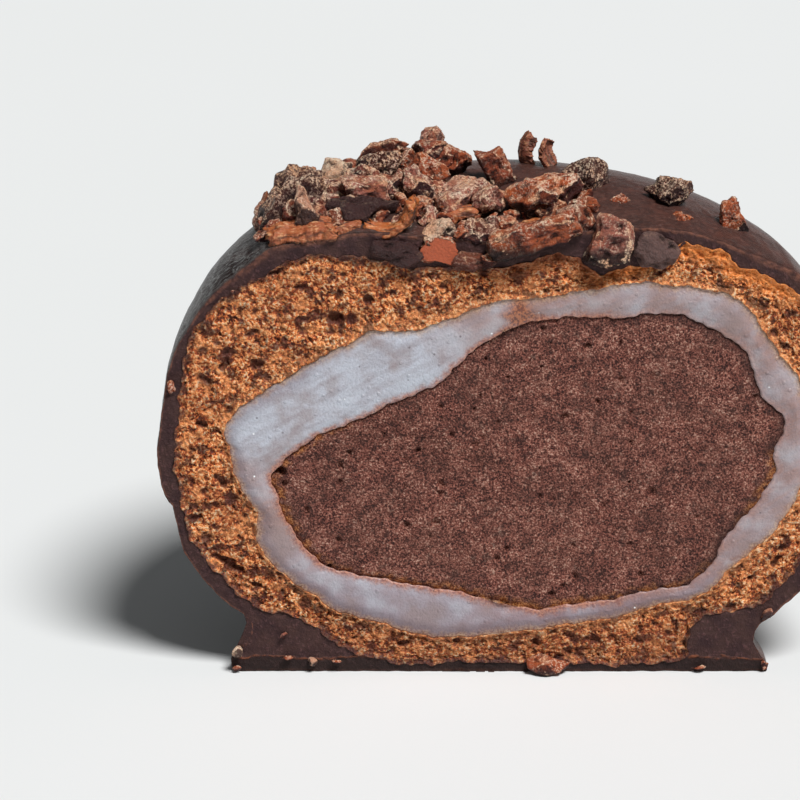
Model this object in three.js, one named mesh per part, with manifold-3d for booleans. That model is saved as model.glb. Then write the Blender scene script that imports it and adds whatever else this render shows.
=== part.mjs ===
// Half of a round filled doughnut, cut through the middle and standing on its foot.
// From the inside out it is a core of chocolate paste, a layer of soft rice dough, a brown
// crumb and a chocolate coat that has run down into a flared foot. Broken cocoa nibs and
// curls of their husk stick to the coat, heaped on the crown.
// Millimetres, +Z up. The cut face looks along -Y and the round side is behind it.

import * as THREE from "three";
import { mergeVertices } from "three/addons/utils/BufferGeometryUtils.js";
import Module from "manifold-3d";

const wasm = await Module();
wasm.setup();

// Layers keep this clearance from each other.
const GAP = 0.3;

// The knife passed this far behind the upright axis.
const CUT = 0.5;

// Outlines of the cut face, as [distance from the upright axis, height], from the middle of
// the bottom up to the middle of the crown. The coat's straight base comes before its points.
const COAT = {
  right: [
    [26.7, 0], [26.7, 0.9], [25.3, 2.9], [25.9, 5.0], [27.4, 6.2], [30.8, 9.8], [33.5, 13.8],
    [35.0, 19.0], [35.4, 24.5], [34.8, 30.5], [33.0, 36.4], [30.7, 40.5], [29.1, 42.2], [27.3, 43.1],
    [20.7, 45.9], [15.9, 47.1], [9.0, 46.9], [0, 45.6],
  ],
  left: [
    [26.9, 0], [27.0, 1.4], [26.6, 2.4], [25.4, 3.0], [25.0, 5.4], [28.5, 8.5], [31.4, 12.6],
    [32.6, 17.4], [33.2, 18.4], [33.7, 19.8], [34.1, 24.1], [32.7, 32.9], [30.1, 38.0], [27.7, 40.9],
    [24.4, 43.8], [22.4, 45.1], [17.5, 46.0], [12.5, 46.6], [0, 45.6],
  ],
  // The knife pressed the middle of the crown down, so it stands higher behind the cut.
  back: [
    [26.8, 0], [26.7, 1.2], [25.6, 2.2], [25.2, 5.0], [27.2, 6.7], [30.4, 10.2], [32.8, 14.4],
    [34.0, 19.0], [34.4, 24.5], [33.8, 30.5], [32.3, 36.5], [29.7, 41.7], [25.8, 45.3], [20.5, 47.6],
    [15.0, 48.8], [9.5, 48.8], [4.5, 47.4], [0, 45.6],
  ],
};
const CRUMB = {
  right: [
    [0, 1.0], [15.0, 0.8], [18.2, 1.3], [18.7, 3.4], [19.4, 5.4], [22.2, 6.3], [25.9, 7.5],
    [29.2, 10.6], [31.8, 14.6], [33.2, 19.0], [33.6, 24.5], [33.0, 30.2], [31.3, 35.7], [29.4, 39.8],
    [27.6, 41.1], [26.0, 42.4], [22.8, 43.5], [21.8, 44.5], [18.3, 45.6], [17.2, 45.6], [14.5, 43.6],
    [12.0, 42.9], [9.8, 42.6], [8.4, 43.2], [7.0, 44.3], [4.8, 44.3], [0, 43.1],
  ],
  left: [
    [0, 1.0], [8.8, 0.9], [11.6, 1.1], [15.0, 2.1], [16.9, 3.6], [20.3, 5.7], [24.2, 7.0],
    [28.0, 10.1], [30.0, 13.0], [31.8, 17.2], [32.4, 23.8], [31.9, 29.7], [31.4, 32.1], [30.9, 36.0],
    [28.6, 38.7], [25.4, 41.3], [20.9, 43.7], [17.0, 44.4], [13.3, 44.2], [11.4, 43.5], [8.8, 43.0],
    [5.4, 43.4], [3.2, 43.0], [0, 43.1],
  ],
  back: [
    [0, 1.0], [10.0, 1.1], [16.0, 1.8], [19.0, 5.0], [26.4, 8.8], [29.6, 12.4], [31.7, 16.4],
    [32.7, 20.6], [33.0, 25.0], [32.4, 30.4], [30.8, 35.8], [27.9, 40.3], [24.2, 43.4], [19.6, 45.7],
    [14.5, 46.9], [9.0, 46.4], [0, 43.1],
  ],
};
const MOCHI = {
  right: [
    [0, 4.2], [5.9, 4.9], [12.1, 6.1], [15.1, 7.0], [18.2, 7.7], [20.6, 8.7], [22.6, 10.7],
    [27.6, 15.8], [29.9, 20.0], [30.7, 25.0], [29.8, 30.0], [27.9, 33.4], [24.4, 38.4], [22.6, 40.1],
    [19.5, 41.1], [16.5, 41.2], [12.5, 41.6], [5.5, 40.2], [0, 39.8],
  ],
  left: [
    [0, 4.2], [4.1, 3.6], [8.0, 4.0], [14.2, 5.8], [16.6, 6.7], [18.5, 8.1], [21.2, 9.9], [24.0, 13.4],
    [24.4, 15.5], [24.6, 17.6], [25.9, 19.8], [27.1, 24.0], [27.6, 26.0], [26.9, 27.3], [25.3, 28.8],
    [20.8, 32.0], [15.5, 35.0], [12.8, 36.6], [9.0, 36.4], [4.0, 38.4], [0, 39.8],
  ],
};
const PASTE = {
  right: [
    [0, 7.4], [4.0, 6.7], [9.0, 7.4], [15.1, 8.6], [18.1, 9.1], [20.2, 10.6], [21.6, 12.4],
    [22.6, 14.6], [25.4, 18.2], [27.3, 21.4], [27.1, 24.0], [28.1, 26.8], [26.2, 29.2], [25.3, 30.8],
    [24.7, 32.8], [23.6, 34.7], [21.8, 36.2], [18.4, 37.9], [14.6, 38.3], [11.0, 37.9], [4.0, 37.7],
    [0, 36.4],
  ],
  left: [
    [0, 7.4], [6.5, 9.0], [13.5, 10.2], [18.0, 11.8], [20.8, 15.0], [22.3, 19.2], [22.7, 21.6],
    [18.7, 25.0], [12.5, 28.0], [6.7, 30.8], [3.0, 34.2], [0, 36.4],
  ],
};

// The depth over which a body swells from the outline of its cut to that of its back.
const SWELL = 8;

// How finely a body is turned: outlines around the axis and points along each outline.
const OUTER_TURN = { rings: 52, base: 3, side: 36 };
const INNER_TURN = { rings: 24, base: 0, side: 32 };

// Pores that the knife opened in the crumb. The band is the share of the way from the rim in
// to the rice dough where they may lie, and sunk the share of its radius that a pore lies deep.
const PORES = { count: 54, radius: [0.45, 1.2], wall: 0.5, band: [0.25, 0.75], sunk: 0.2, seed: 11 };

// Nibs and husks near the cut: [x, depth behind the cut, lift of the middle above the coat,
// length, width, height, turn about the upright axis, lean of the length, both in degrees]. A husk's
// last value is the bend of its length in radians. Drips are lumps of chocolate on the cut of the coat.
const CHUNKS = [
  [-20.9, 5.0, 2.0, 8.8, 4.6, 4.6, 10, 64],
  [-19.7, 7.0, 2.6, 4.2, 3.3, 3.1, 40, 10],
  [-19.3, 2.0, 1.8, 3.0, 2.6, 5.0, -20, 8],
  [-16.2, 11.0, 2.0, 3.6, 3.3, 3.4, 30, 15],
  [-12.1, 14.0, 2.5, 6.0, 3.4, 3.6, 12, 18],
  [-12.5, 9.0, 2.6, 4.7, 3.4, 2.9, -14, 30],
  [-13.7, 5.6, 1.5, 5.9, 3.0, 2.4, 8, -4],
  [-14.1, 2.9, 0.4, 8.0, 3.6, 3.2, -6, 8],
  [-8.6, 6.6, 1.4, 4.6, 2.5, 2.7, 20, 98],
  [-6.3, 0.5, -1.8, 5.2, 3.4, 3.6, 0, -10],
  [-6.2, 1.4, -0.1, 3.2, 2.4, 2.6, 50, 12],
  [-7.2, 16.0, 2.7, 2.9, 2.7, 2.5, -30, 8],
  [-6.9, 14.0, 2.0, 3.7, 3.0, 2.9, 15, -12],
  [-4.2, 12.6, 1.4, 2.5, 2.5, 2.5, 60, 35],
  [-7.1, 9.8, 1.8, 4.5, 2.4, 2.0, -8, -32],
  [-4.4, 9.2, 0.6, 3.5, 2.4, 1.7, 22, 6],
  [-2.6, 7.4, 0.7, 3.6, 2.6, 2.0, -12, 10],
  [-1.3, 5.4, 1.6, 3.4, 2.9, 3.0, 35, 25],
  [-0.6, 11.0, 1.5, 5.2, 3.2, 3.0, 16, -66],
  [4.3, 5.2, 1.9, 7.2, 4.2, 3.9, -10, 18],
  [-2.1, 1.7, 0.2, 4.2, 2.7, 3.2, 40, -15],
  [6.8, 1.5, 0.4, 3.9, 2.5, 3.5, -20, 40],
  [8.3, 9.6, 0.7, 3.9, 3.5, 3.4, 25, 20],
  [11.5, 6.2, -0.4, 2.2, 1.7, 1.5, 15, 12],
  [16.5, 6.6, 1.0, 4.4, 3.7, 3.2, -25, 14],
  [17.2, 3.4, -0.3, 2.9, 1.8, 1.5, 20, 8],
  [22.5, 5.4, 0.9, 3.6, 2.8, 4.2, 20, 8],
  [3.0, -0.1, 0.5, 10.8, 2.6, 2.9, 3, 17],
  [-10.0, 1.9, 0.5, 1.6, 1.4, 1.5, 20, 10],
  [-7.3, 3.2, 0.3, 2.2, 1.8, 1.8, 35, 5],
  [-1.0, -0.1, -1.5, 2.6, 1.4, 1.6, 10, 20],
  [-16.4, 2.2, 0.4, 3.4, 2.4, 2.2, -20, 12],
  [4.6, 3.4, 0.7, 3.6, 2.4, 2.4, 25, 12],
  [10.7, -0.5, -1.0, 5.6, 2.4, 5.8, 4, -8],
  [-9.4, 13.8, 1.2, 3.8, 3.0, 3.0, 40, 20],
  [-5.6, 13.2, 1.0, 3.2, 2.8, 2.8, 70, -10],
];
const DRIPS = [
  [15.0, -0.1, -2.2, 3.9, 1.4, 3.2, 0, 0],
  [-10.4, -0.1, -1.6, 4.6, 1.2, 1.8, 4, -10],
  [-9.6, -0.1, -2.2, 2.6, 1.2, 1.5, 0, 8],
  [-3.2, -0.1, -2.1, 3.0, 1.3, 1.5, 0, 0],
];
const HUSKS = [
  [-23.9, 8.0, 1.0, 4.6, 1.6, 0.8, 30, 75, 0.6],
  [-19.9, 1.8, 0.9, 7.1, 3.4, 1.6, -4, 9, 0.3],
  [-15.3, 1.6, 0.4, 2.5, 2.0, 1.0, 10, 14, 0.4],
  [-10.5, 1.4, 0.3, 6.2, 2.5, 1.1, -8, 30, -2.2],
  [-4.1, 4.0, 1.0, 3.2, 2.0, 0.9, 12, 10, 0.8],
  [2.4, 2.2, 0.8, 2.7, 1.7, 0.8, -14, 18, 0.8],
  [2.1, 17.0, 1.4, 3.8, 2.4, 0.6, 25, 82, 1.6],
  [4.1, 16.4, 1.1, 3.5, 2.4, 0.6, -30, 100, 1.6],
];

// A nib is a ball cut by flat planes, each at a share of its radius, with corners up to the reach.
const BREAKS = { count: 9, share: [0.8, 1.1], reach: 1.2, seed: 5 };

// The rest of the heap, spread over the crown between and behind the nibs listed above, and under
// those that are lifted highest.
const HEAP = {
  x: -11.5, radius: 13.2, points: 150, nearest: 3.2, farthest: 14, clear: 2.3, under: 1.8, lift: 0.5, seed: 3,
};
const HEAP_NIB = { length: [3.6, 6.0], width: [0.65, 0.95], height: [0.55, 0.8], lean: [-30, 30] };

// Where the coat is chipped at the cut: [x, height, width, height of the chip, depth, lean].
const CHIPS = [
  [-33.6, 17.4, 2.0, 1.1, 3.0, 25],
  [-25.4, 6.6, 2.6, 0.5, 2.0, 35],
];

const GOLDEN_ANGLE = Math.PI * (3 - Math.sqrt(5));
const ROOM = 200;
const { lerp, degToRad } = THREE.MathUtils;

// A repeatable stream of numbers from 0 to 1.
function seeded(seed) {
  let state = Math.imul(seed + 1, 2654435761) >>> 0;
  return () => {
    state = (Math.imul(state, 1664525) + 1013904223) >>> 0;
    return state / 2 ** 32;
  };
}

// A closed geometry as a solid that can be joined and cut.
function solidOf(geometry) {
  const bare = geometry.clone();
  bare.deleteAttribute("normal");
  bare.deleteAttribute("uv");
  const merged = mergeVertices(bare, 1e-4);
  const corners = merged.index.array;
  const kept = [];
  for (let i = 0; i < corners.length; i += 3) {
    const [a, b, c] = corners.subarray(i, i + 3);
    if (a !== b && b !== c && c !== a) kept.push(a, b, c);
  }
  const vertProperties = new Float32Array(merged.getAttribute("position").array);
  return new wasm.Manifold(new wasm.Mesh({ numProp: 3, vertProperties, triVerts: new Uint32Array(kept) }));
}

// The largest body of a solid, as a named mesh.
function meshOf(name, solid, look) {
  const body = solid.decompose().reduce((a, b) => (a.volume() > b.volume() ? a : b));
  const { vertProperties, triVerts } = body.getMesh();
  const geometry = new THREE.BufferGeometry();
  geometry.setAttribute("position", new THREE.BufferAttribute(vertProperties, 3));
  geometry.setIndex(new THREE.BufferAttribute(triVerts, 1));
  geometry.computeVertexNormals();
  const mesh = new THREE.Mesh(geometry, new THREE.MeshStandardMaterial({ ...look, metalness: 0 }));
  mesh.name = name;
  return mesh;
}

// A smooth outline through its points, after a straight base where it doesn't start on the axis.
function outline(points, { base, side }) {
  const curve = new THREE.SplineCurve(points.map(([x, z]) => new THREE.Vector2(x, z)));
  const steps = Array.from({ length: base }, (_, i) => new THREE.Vector2((points[0][0] * i) / base, 0));
  return [...steps, ...curve.getSpacedPoints(side)];
}

// The outline moved out by a distance along its own normals. Its ends stay on the axis.
function grown(points, distance) {
  return points.map((point, i) => {
    const before = points[Math.max(i - 1, 0)];
    const after = points[Math.min(i + 1, points.length - 1)];
    const along = after.clone().sub(before).normalize();
    const moved = new THREE.Vector2(point.x + along.y * distance, point.y - along.x * distance);
    if (i === 0 || i === points.length - 1) moved.x = 0;
    return moved;
  });
}

function halfway(points, others) {
  return points.map((point, i) => point.clone().lerp(others[i], 0.5));
}

// The three outlines that a body passes through as it turns, each with the same number of points.
function outlinesOf({ right, left, back }, turn) {
  const made = { right: outline(right, turn), left: outline(left, turn) };
  made.back = back ? outline(back, turn) : halfway(made.right, made.left);
  return made;
}

// A round body whose outline changes from right to back to left as it turns, except on the rings
// next to the cut.
function turned({ right, back, left }, rings, distance = 0) {
  const [toRight, toBack, toLeft] = [right, back, left].map((points) => grown(points, distance));
  const lathe = new THREE.LatheGeometry(toRight, rings);
  const position = lathe.getAttribute("position");
  const atCut = Math.sin(Math.PI / rings);
  for (let ring = 0; ring <= rings; ring++) {
    const angle = (((ring % rings) + 0.5) / rings) * 2 * Math.PI;
    const side = Math.cos(angle) > 0 ? toRight : toLeft;
    side.forEach((point, step) => {
      const depth = point.x * (Math.abs(Math.sin(angle)) - atCut);
      const at = point.clone().lerp(toBack[step], 1 - Math.exp(-depth / SWELL));
      const index = ring * side.length + step;
      position.setXYZ(index, at.x * Math.cos(angle), at.x * Math.sin(angle), at.y);
    });
  }
  return lathe;
}

// The half of space behind the cut, from a given depth.
function behind(depth) {
  const block = new THREE.BoxGeometry(ROOM, ROOM, ROOM);
  return solidOf(block.translate(0, CUT + depth + ROOM / 2, 0));
}

// A broken nib: a ball cut flat by planes all round it.
function chunk(length, width, height, seed) {
  const random = seeded(seed);
  const planes = Array.from({ length: BREAKS.count }, (_, k) => {
    const rise = 1 - (2 * (k + 0.5)) / BREAKS.count;
    const angle = k * GOLDEN_ANGLE + random();
    const flat = Math.sqrt(1 - rise * rise);
    const normal = new THREE.Vector3(flat * Math.cos(angle), flat * Math.sin(angle), rise);
    return { normal, distance: lerp(...BREAKS.share, random()) };
  });
  const geometry = new THREE.IcosahedronGeometry(1, 0);
  const position = geometry.getAttribute("position");
  const direction = new THREE.Vector3();
  for (let i = 0; i < position.count; i++) {
    direction.fromBufferAttribute(position, i);
    const cuts = planes.filter(({ normal }) => direction.dot(normal) > 0);
    const reach = cuts.map(({ normal, distance }) => distance / direction.dot(normal));
    direction.multiplyScalar(Math.min(...reach, BREAKS.reach));
    position.setXYZ(i, direction.x, direction.y, direction.z);
  }
  return geometry.scale(length / 2, width / 2, height / 2);
}

// A curl of husk: a thin plate bent along its length.
function husk(length, width, height, bend) {
  const geometry = new THREE.BoxGeometry(length, width, height, 4, 1, 1);
  const position = geometry.getAttribute("position");
  const radius = length / bend;
  for (let i = 0; i < position.count; i++) {
    const angle = position.getX(i) / radius;
    const reach = radius + position.getZ(i);
    position.setXYZ(i, reach * Math.sin(angle), position.getY(i), reach * Math.cos(angle) - radius);
  }
  return geometry;
}

// A nib or husk set on the coat.
function placed(geometry, coat, [x, depth, lift, , , , turn, lean]) {
  const above = new THREE.Vector3(x, CUT + Math.max(depth, 0), ROOM);
  const top = new THREE.Raycaster(above, new THREE.Vector3(0, 0, -1)).intersectObject(coat)[0].point.z;
  geometry.rotateY(-degToRad(lean));
  geometry.rotateZ(degToRad(turn));
  return solidOf(geometry.translate(x, CUT + depth, top + lift));
}

// The heap's own list of nibs, in the form of the lists above.
function heapNibs() {
  const random = seeded(HEAP.seed);
  const low = [...CHUNKS, ...DRIPS, ...HUSKS].filter((nib) => nib[2] < HEAP.under);
  const nibs = [];
  for (let k = 0; k < HEAP.points; k++) {
    const radius = HEAP.radius * Math.sqrt((k + 0.5) / HEAP.points);
    const x = HEAP.x + radius * Math.cos(k * GOLDEN_ANGLE);
    const depth = radius * Math.sin(k * GOLDEN_ANGLE);
    const length = lerp(...HEAP_NIB.length, random());
    const width = length * lerp(...HEAP_NIB.width, random());
    const height = length * lerp(...HEAP_NIB.height, random());
    const turn = 360 * random();
    const lean = lerp(...HEAP_NIB.lean, random());
    const reached = depth > HEAP.nearest && depth < HEAP.farthest;
    const free = low.every((nib) => Math.hypot(nib[0] - x, nib[1] - depth) > HEAP.clear);
    if (reached && free) nibs.push([x, depth, HEAP.lift, length, width, height, turn, lean]);
  }
  return nibs;
}

// Every nib and husk, trimmed at the cut unless it hangs over it.
function toppings(coat, kept) {
  const nibs = [...CHUNKS, ...DRIPS, ...heapNibs()].map((nib, i) => ({
    nib,
    solid: placed(chunk(nib[3], nib[4], nib[5], BREAKS.seed + i), coat, nib),
  }));
  const husks = HUSKS.map((nib) => ({ nib, solid: placed(husk(nib[3], nib[4], nib[5], nib[8]), coat, nib) }));
  return [...nibs, ...husks].map(({ nib, solid }) => (nib[1] < 0 ? solid : solid.intersect(kept)));
}

// A flake missing from the coat.
function chip([x, height, width, tall, depth, lean]) {
  const block = new THREE.BoxGeometry(width, 2 * depth, tall);
  return solidOf(block.rotateY(-degToRad(lean)).translate(x, CUT, height));
}

// Small pits at the cut, spread between the rice dough and the coat.
function pores(outer, inner) {
  const random = seeded(PORES.seed);
  const pits = [];
  while (pits.length < PORES.count) {
    const side = random() < 0.5 ? "left" : "right";
    const step = Math.round(random() * (outer[side].length - 1));
    const [rim, hollow] = [outer[side][step], inner[side][step]];
    const middle = rim.clone().lerp(hollow, lerp(...PORES.band, random()));
    const room = Math.min(middle.distanceTo(rim), middle.distanceTo(hollow)) - PORES.wall;
    const radius = Math.min(lerp(...PORES.radius, random() ** 2), room);
    const at = new THREE.Vector3(side === "left" ? -middle.x : middle.x, CUT + PORES.sunk * radius, middle.y);
    const apart = pits.every((pit) => pit.at.distanceTo(at) > pit.radius + radius + PORES.wall / 2);
    if (radius >= PORES.radius[0] && apart) pits.push({ at, radius, turn: random() * Math.PI });
  }
  return pits.map(({ at, radius, turn }) => {
    const pit = new THREE.IcosahedronGeometry(radius, 0);
    return solidOf(pit.rotateY(turn).rotateZ(turn).translate(at.x, at.y, at.z));
  });
}

const coatLines = outlinesOf(COAT, OUTER_TURN);
const crumbLines = outlinesOf(CRUMB, INNER_TURN);
const mochiLines = outlinesOf(MOCHI, INNER_TURN);
const pasteLines = outlinesOf(PASTE, INNER_TURN);
const { rings } = INNER_TURN;
const kept = behind(0);

const coatBody = turned(coatLines, OUTER_TURN.rings);
const coatSurface = new THREE.Mesh(coatBody, new THREE.MeshBasicMaterial({ side: THREE.DoubleSide }));
const bareCoat = solidOf(coatBody).intersect(kept);
const coated = toppings(coatSurface, kept).reduce((all, one) => all.add(one), bareCoat);
const chipped = CHIPS.reduce((all, one) => all.subtract(chip(one)), coated);
const coat = chipped.subtract(solidOf(turned(crumbLines, rings, GAP)).intersect(behind(-GAP)));

const filledCrumb = solidOf(turned(crumbLines, rings)).intersect(kept);
const solidCrumb = filledCrumb.subtract(solidOf(turned(mochiLines, rings, GAP)));
const crumb = pores(crumbLines, mochiLines).reduce((all, one) => all.subtract(one), solidCrumb);

const filledMochi = solidOf(turned(mochiLines, rings)).intersect(kept);
const mochi = filledMochi.subtract(solidOf(turned(pasteLines, rings, GAP)));
const paste = solidOf(turned(pasteLines, rings)).intersect(kept);

const doughnut = new THREE.Group();
doughnut.add(
  meshOf("chocolate_coat", coat, { color: 0x2e1c18, roughness: 0.35 }),
  meshOf("cake_crumb", crumb, { color: 0x9a5a2c, roughness: 0.9 }),
  meshOf("mochi_layer", mochi, { color: 0xb4adb6, roughness: 0.4 }),
  meshOf("paste_core", paste, { color: 0x4a302b, roughness: 0.8 }),
);

// The origin is under the middle of the part, on the surface that it stands on.
const box = new THREE.Box3().setFromObject(doughnut);
const middle = box.getCenter(new THREE.Vector3());
doughnut.children.forEach((mesh) => mesh.position.set(-middle.x, -middle.y, -box.min.z));

export default doughnut;
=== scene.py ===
# Half of a filled chocolate doughnut, cut through the middle: a paste core, a layer of soft rice
# dough, a brown crumb and a chocolate coat with a flared foot and a heap of cocoa nibs.
import math

import bmesh
import bpy
import numpy as np
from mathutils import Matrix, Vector
from mathutils.bvhtree import BVHTree


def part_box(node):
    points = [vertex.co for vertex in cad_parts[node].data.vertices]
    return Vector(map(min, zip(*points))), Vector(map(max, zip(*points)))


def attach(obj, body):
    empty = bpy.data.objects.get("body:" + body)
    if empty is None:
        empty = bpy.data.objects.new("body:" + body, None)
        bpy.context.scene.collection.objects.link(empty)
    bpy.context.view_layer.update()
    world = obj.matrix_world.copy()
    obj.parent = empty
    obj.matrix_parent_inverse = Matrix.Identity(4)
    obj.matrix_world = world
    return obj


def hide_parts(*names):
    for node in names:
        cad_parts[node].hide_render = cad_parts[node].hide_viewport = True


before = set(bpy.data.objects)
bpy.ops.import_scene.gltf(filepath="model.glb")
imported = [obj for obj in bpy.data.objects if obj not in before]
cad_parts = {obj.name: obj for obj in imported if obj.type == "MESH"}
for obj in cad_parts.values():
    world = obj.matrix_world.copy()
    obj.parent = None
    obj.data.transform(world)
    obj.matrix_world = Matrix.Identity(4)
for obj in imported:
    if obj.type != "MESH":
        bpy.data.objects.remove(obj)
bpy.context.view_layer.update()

MM = 0.001

# Outlines of the cut face in millimetres, as (distance from the upright axis, height), from the
# middle of the bottom up to the middle of the crown. The coat's straight base comes before its points.
COAT = {
    "right": [
        (26.7, 0), (26.7, 0.9), (25.3, 2.9), (25.9, 5.0), (27.4, 6.2), (30.8, 9.8), (33.5, 13.8),
        (35.0, 19.0), (35.4, 24.5), (34.8, 30.5), (33.0, 36.4), (30.7, 40.5), (29.1, 42.2),
        (27.3, 43.1), (20.7, 45.9), (15.9, 47.1), (9.0, 46.9), (0, 45.6),
    ],
    "left": [
        (26.9, 0), (27.0, 1.4), (26.6, 2.4), (25.4, 3.0), (25.0, 5.4), (28.5, 8.5), (31.4, 12.6),
        (32.6, 17.4), (33.2, 18.4), (33.7, 19.8), (34.1, 24.1), (32.7, 32.9), (30.1, 38.0),
        (27.7, 40.9), (24.4, 43.8), (22.4, 45.1), (17.5, 46.0), (12.5, 46.6), (0, 45.6),
    ],
    "back": [
        (26.8, 0), (26.7, 1.2), (25.6, 2.2), (25.2, 5.0), (27.2, 6.7), (30.4, 10.2), (32.8, 14.4),
        (34.0, 19.0), (34.4, 24.5), (33.8, 30.5), (32.3, 36.5), (29.7, 41.7), (25.8, 45.3),
        (20.5, 47.6), (15.0, 48.8), (9.5, 48.8), (4.5, 47.4), (0, 45.6),
    ],
}
CRUMB = {
    "right": [
        (0, 1.0), (15.0, 0.8), (18.2, 1.3), (18.7, 3.4), (19.4, 5.4), (22.2, 6.3), (25.9, 7.5),
        (29.2, 10.6), (31.8, 14.6), (33.2, 19.0), (33.6, 24.5), (33.0, 30.2), (31.3, 35.7),
        (29.4, 39.8), (27.6, 41.1), (26.0, 42.4), (22.8, 43.5), (21.8, 44.5), (18.3, 45.6),
        (17.2, 45.6), (14.5, 43.6), (12.0, 42.9), (9.8, 42.6), (8.4, 43.2), (7.0, 44.3), (4.8, 44.3),
        (0, 43.1),
    ],
    "left": [
        (0, 1.0), (8.8, 0.9), (11.6, 1.1), (15.0, 2.1), (16.9, 3.6), (20.3, 5.7), (24.2, 7.0),
        (28.0, 10.1), (30.0, 13.0), (31.8, 17.2), (32.4, 23.8), (31.9, 29.7), (31.4, 32.1),
        (30.9, 36.0), (28.6, 38.7), (25.4, 41.3), (20.9, 43.7), (17.0, 44.4), (13.3, 44.2),
        (11.4, 43.5), (8.8, 43.0), (5.4, 43.4), (3.2, 43.0), (0, 43.1),
    ],
    "back": [
        (0, 1.0), (10.0, 1.1), (16.0, 1.8), (19.0, 5.0), (26.4, 8.8), (29.6, 12.4), (31.7, 16.4),
        (32.7, 20.6), (33.0, 25.0), (32.4, 30.4), (30.8, 35.8), (27.9, 40.3), (24.2, 43.4),
        (19.6, 45.7), (14.5, 46.9), (9.0, 46.4), (0, 43.1),
    ],
}
MOCHI = {
    "right": [
        (0, 4.2), (5.9, 4.9), (12.1, 6.1), (15.1, 7.0), (18.2, 7.7), (20.6, 8.7), (22.6, 10.7),
        (27.6, 15.8), (29.9, 20.0), (30.7, 25.0), (29.8, 30.0), (27.9, 33.4), (24.4, 38.4),
        (22.6, 40.1), (19.5, 41.1), (16.5, 41.2), (12.5, 41.6), (5.5, 40.2), (0, 39.8),
    ],
    "left": [
        (0, 4.2), (4.1, 3.6), (8.0, 4.0), (14.2, 5.8), (16.6, 6.7), (18.5, 8.1), (21.2, 9.9),
        (24.0, 13.4), (24.4, 15.5), (24.6, 17.6), (25.9, 19.8), (27.1, 24.0), (27.6, 26.0),
        (26.9, 27.3), (25.3, 28.8), (20.8, 32.0), (15.5, 35.0), (12.8, 36.6), (9.0, 36.4), (4.0, 38.4),
        (0, 39.8),
    ],
}
PASTE = {
    "right": [
        (0, 7.4), (4.0, 6.7), (9.0, 7.4), (15.1, 8.6), (18.1, 9.1), (20.2, 10.6), (21.6, 12.4),
        (22.6, 14.6), (25.4, 18.2), (27.3, 21.4), (27.1, 24.0), (28.1, 26.8), (26.2, 29.2),
        (25.3, 30.8), (24.7, 32.8), (23.6, 34.7), (21.8, 36.2), (18.4, 37.9), (14.6, 38.3),
        (11.0, 37.9), (4.0, 37.7), (0, 36.4),
    ],
    "left": [
        (0, 7.4), (6.5, 9.0), (13.5, 10.2), (18.0, 11.8), (20.8, 15.0), (22.3, 19.2), (22.7, 21.6),
        (18.7, 25.0), (12.5, 28.0), (6.7, 30.8), (3.0, 34.2), (0, 36.4),
    ],
}

# The depth over which a layer swells from the outline of its cut to that of its back.
SWELL = 8.0

OUTLINES = {"coat": COAT, "crumb": CRUMB, "mochi": MOCHI, "paste": PASTE}

# Fineness of the layers: steps along each half outline, rows across the cut face, and rings round the outside
# and the inside. The paste has cells each way across its face.
MESH = {
    "coat": {"steps": 400, "rows": 24, "rings": 110, "inner_rings": 12},
    "crumb": {"steps": 640, "rows": 56, "rings": 12, "inner_rings": 12},
    "mochi": {"steps": 420, "rows": 36, "rings": 14, "inner_rings": 14},
    "paste": {"cells": 260, "rings": 14},
}

# Unevenness of the layers' edges: waves for each millimetre and their heights in millimetres, the length at
# either end of an edge that stays even, how far the waves are shifted from side to side, the share of each
# layer, and the steps in which the waves are drawn.
WAVES = ((0.11, 0.16), (0.27, 0.12), (0.52, 0.09), (0.93, 0.06))
WAVE_END = 4.0
WAVE_SHIFT = 2.1
UNEVEN = {"coat": 0.25, "crumb": 1.0, "mochi": 0.6, "paste": 0.6}
FINEST = 1600

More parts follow.
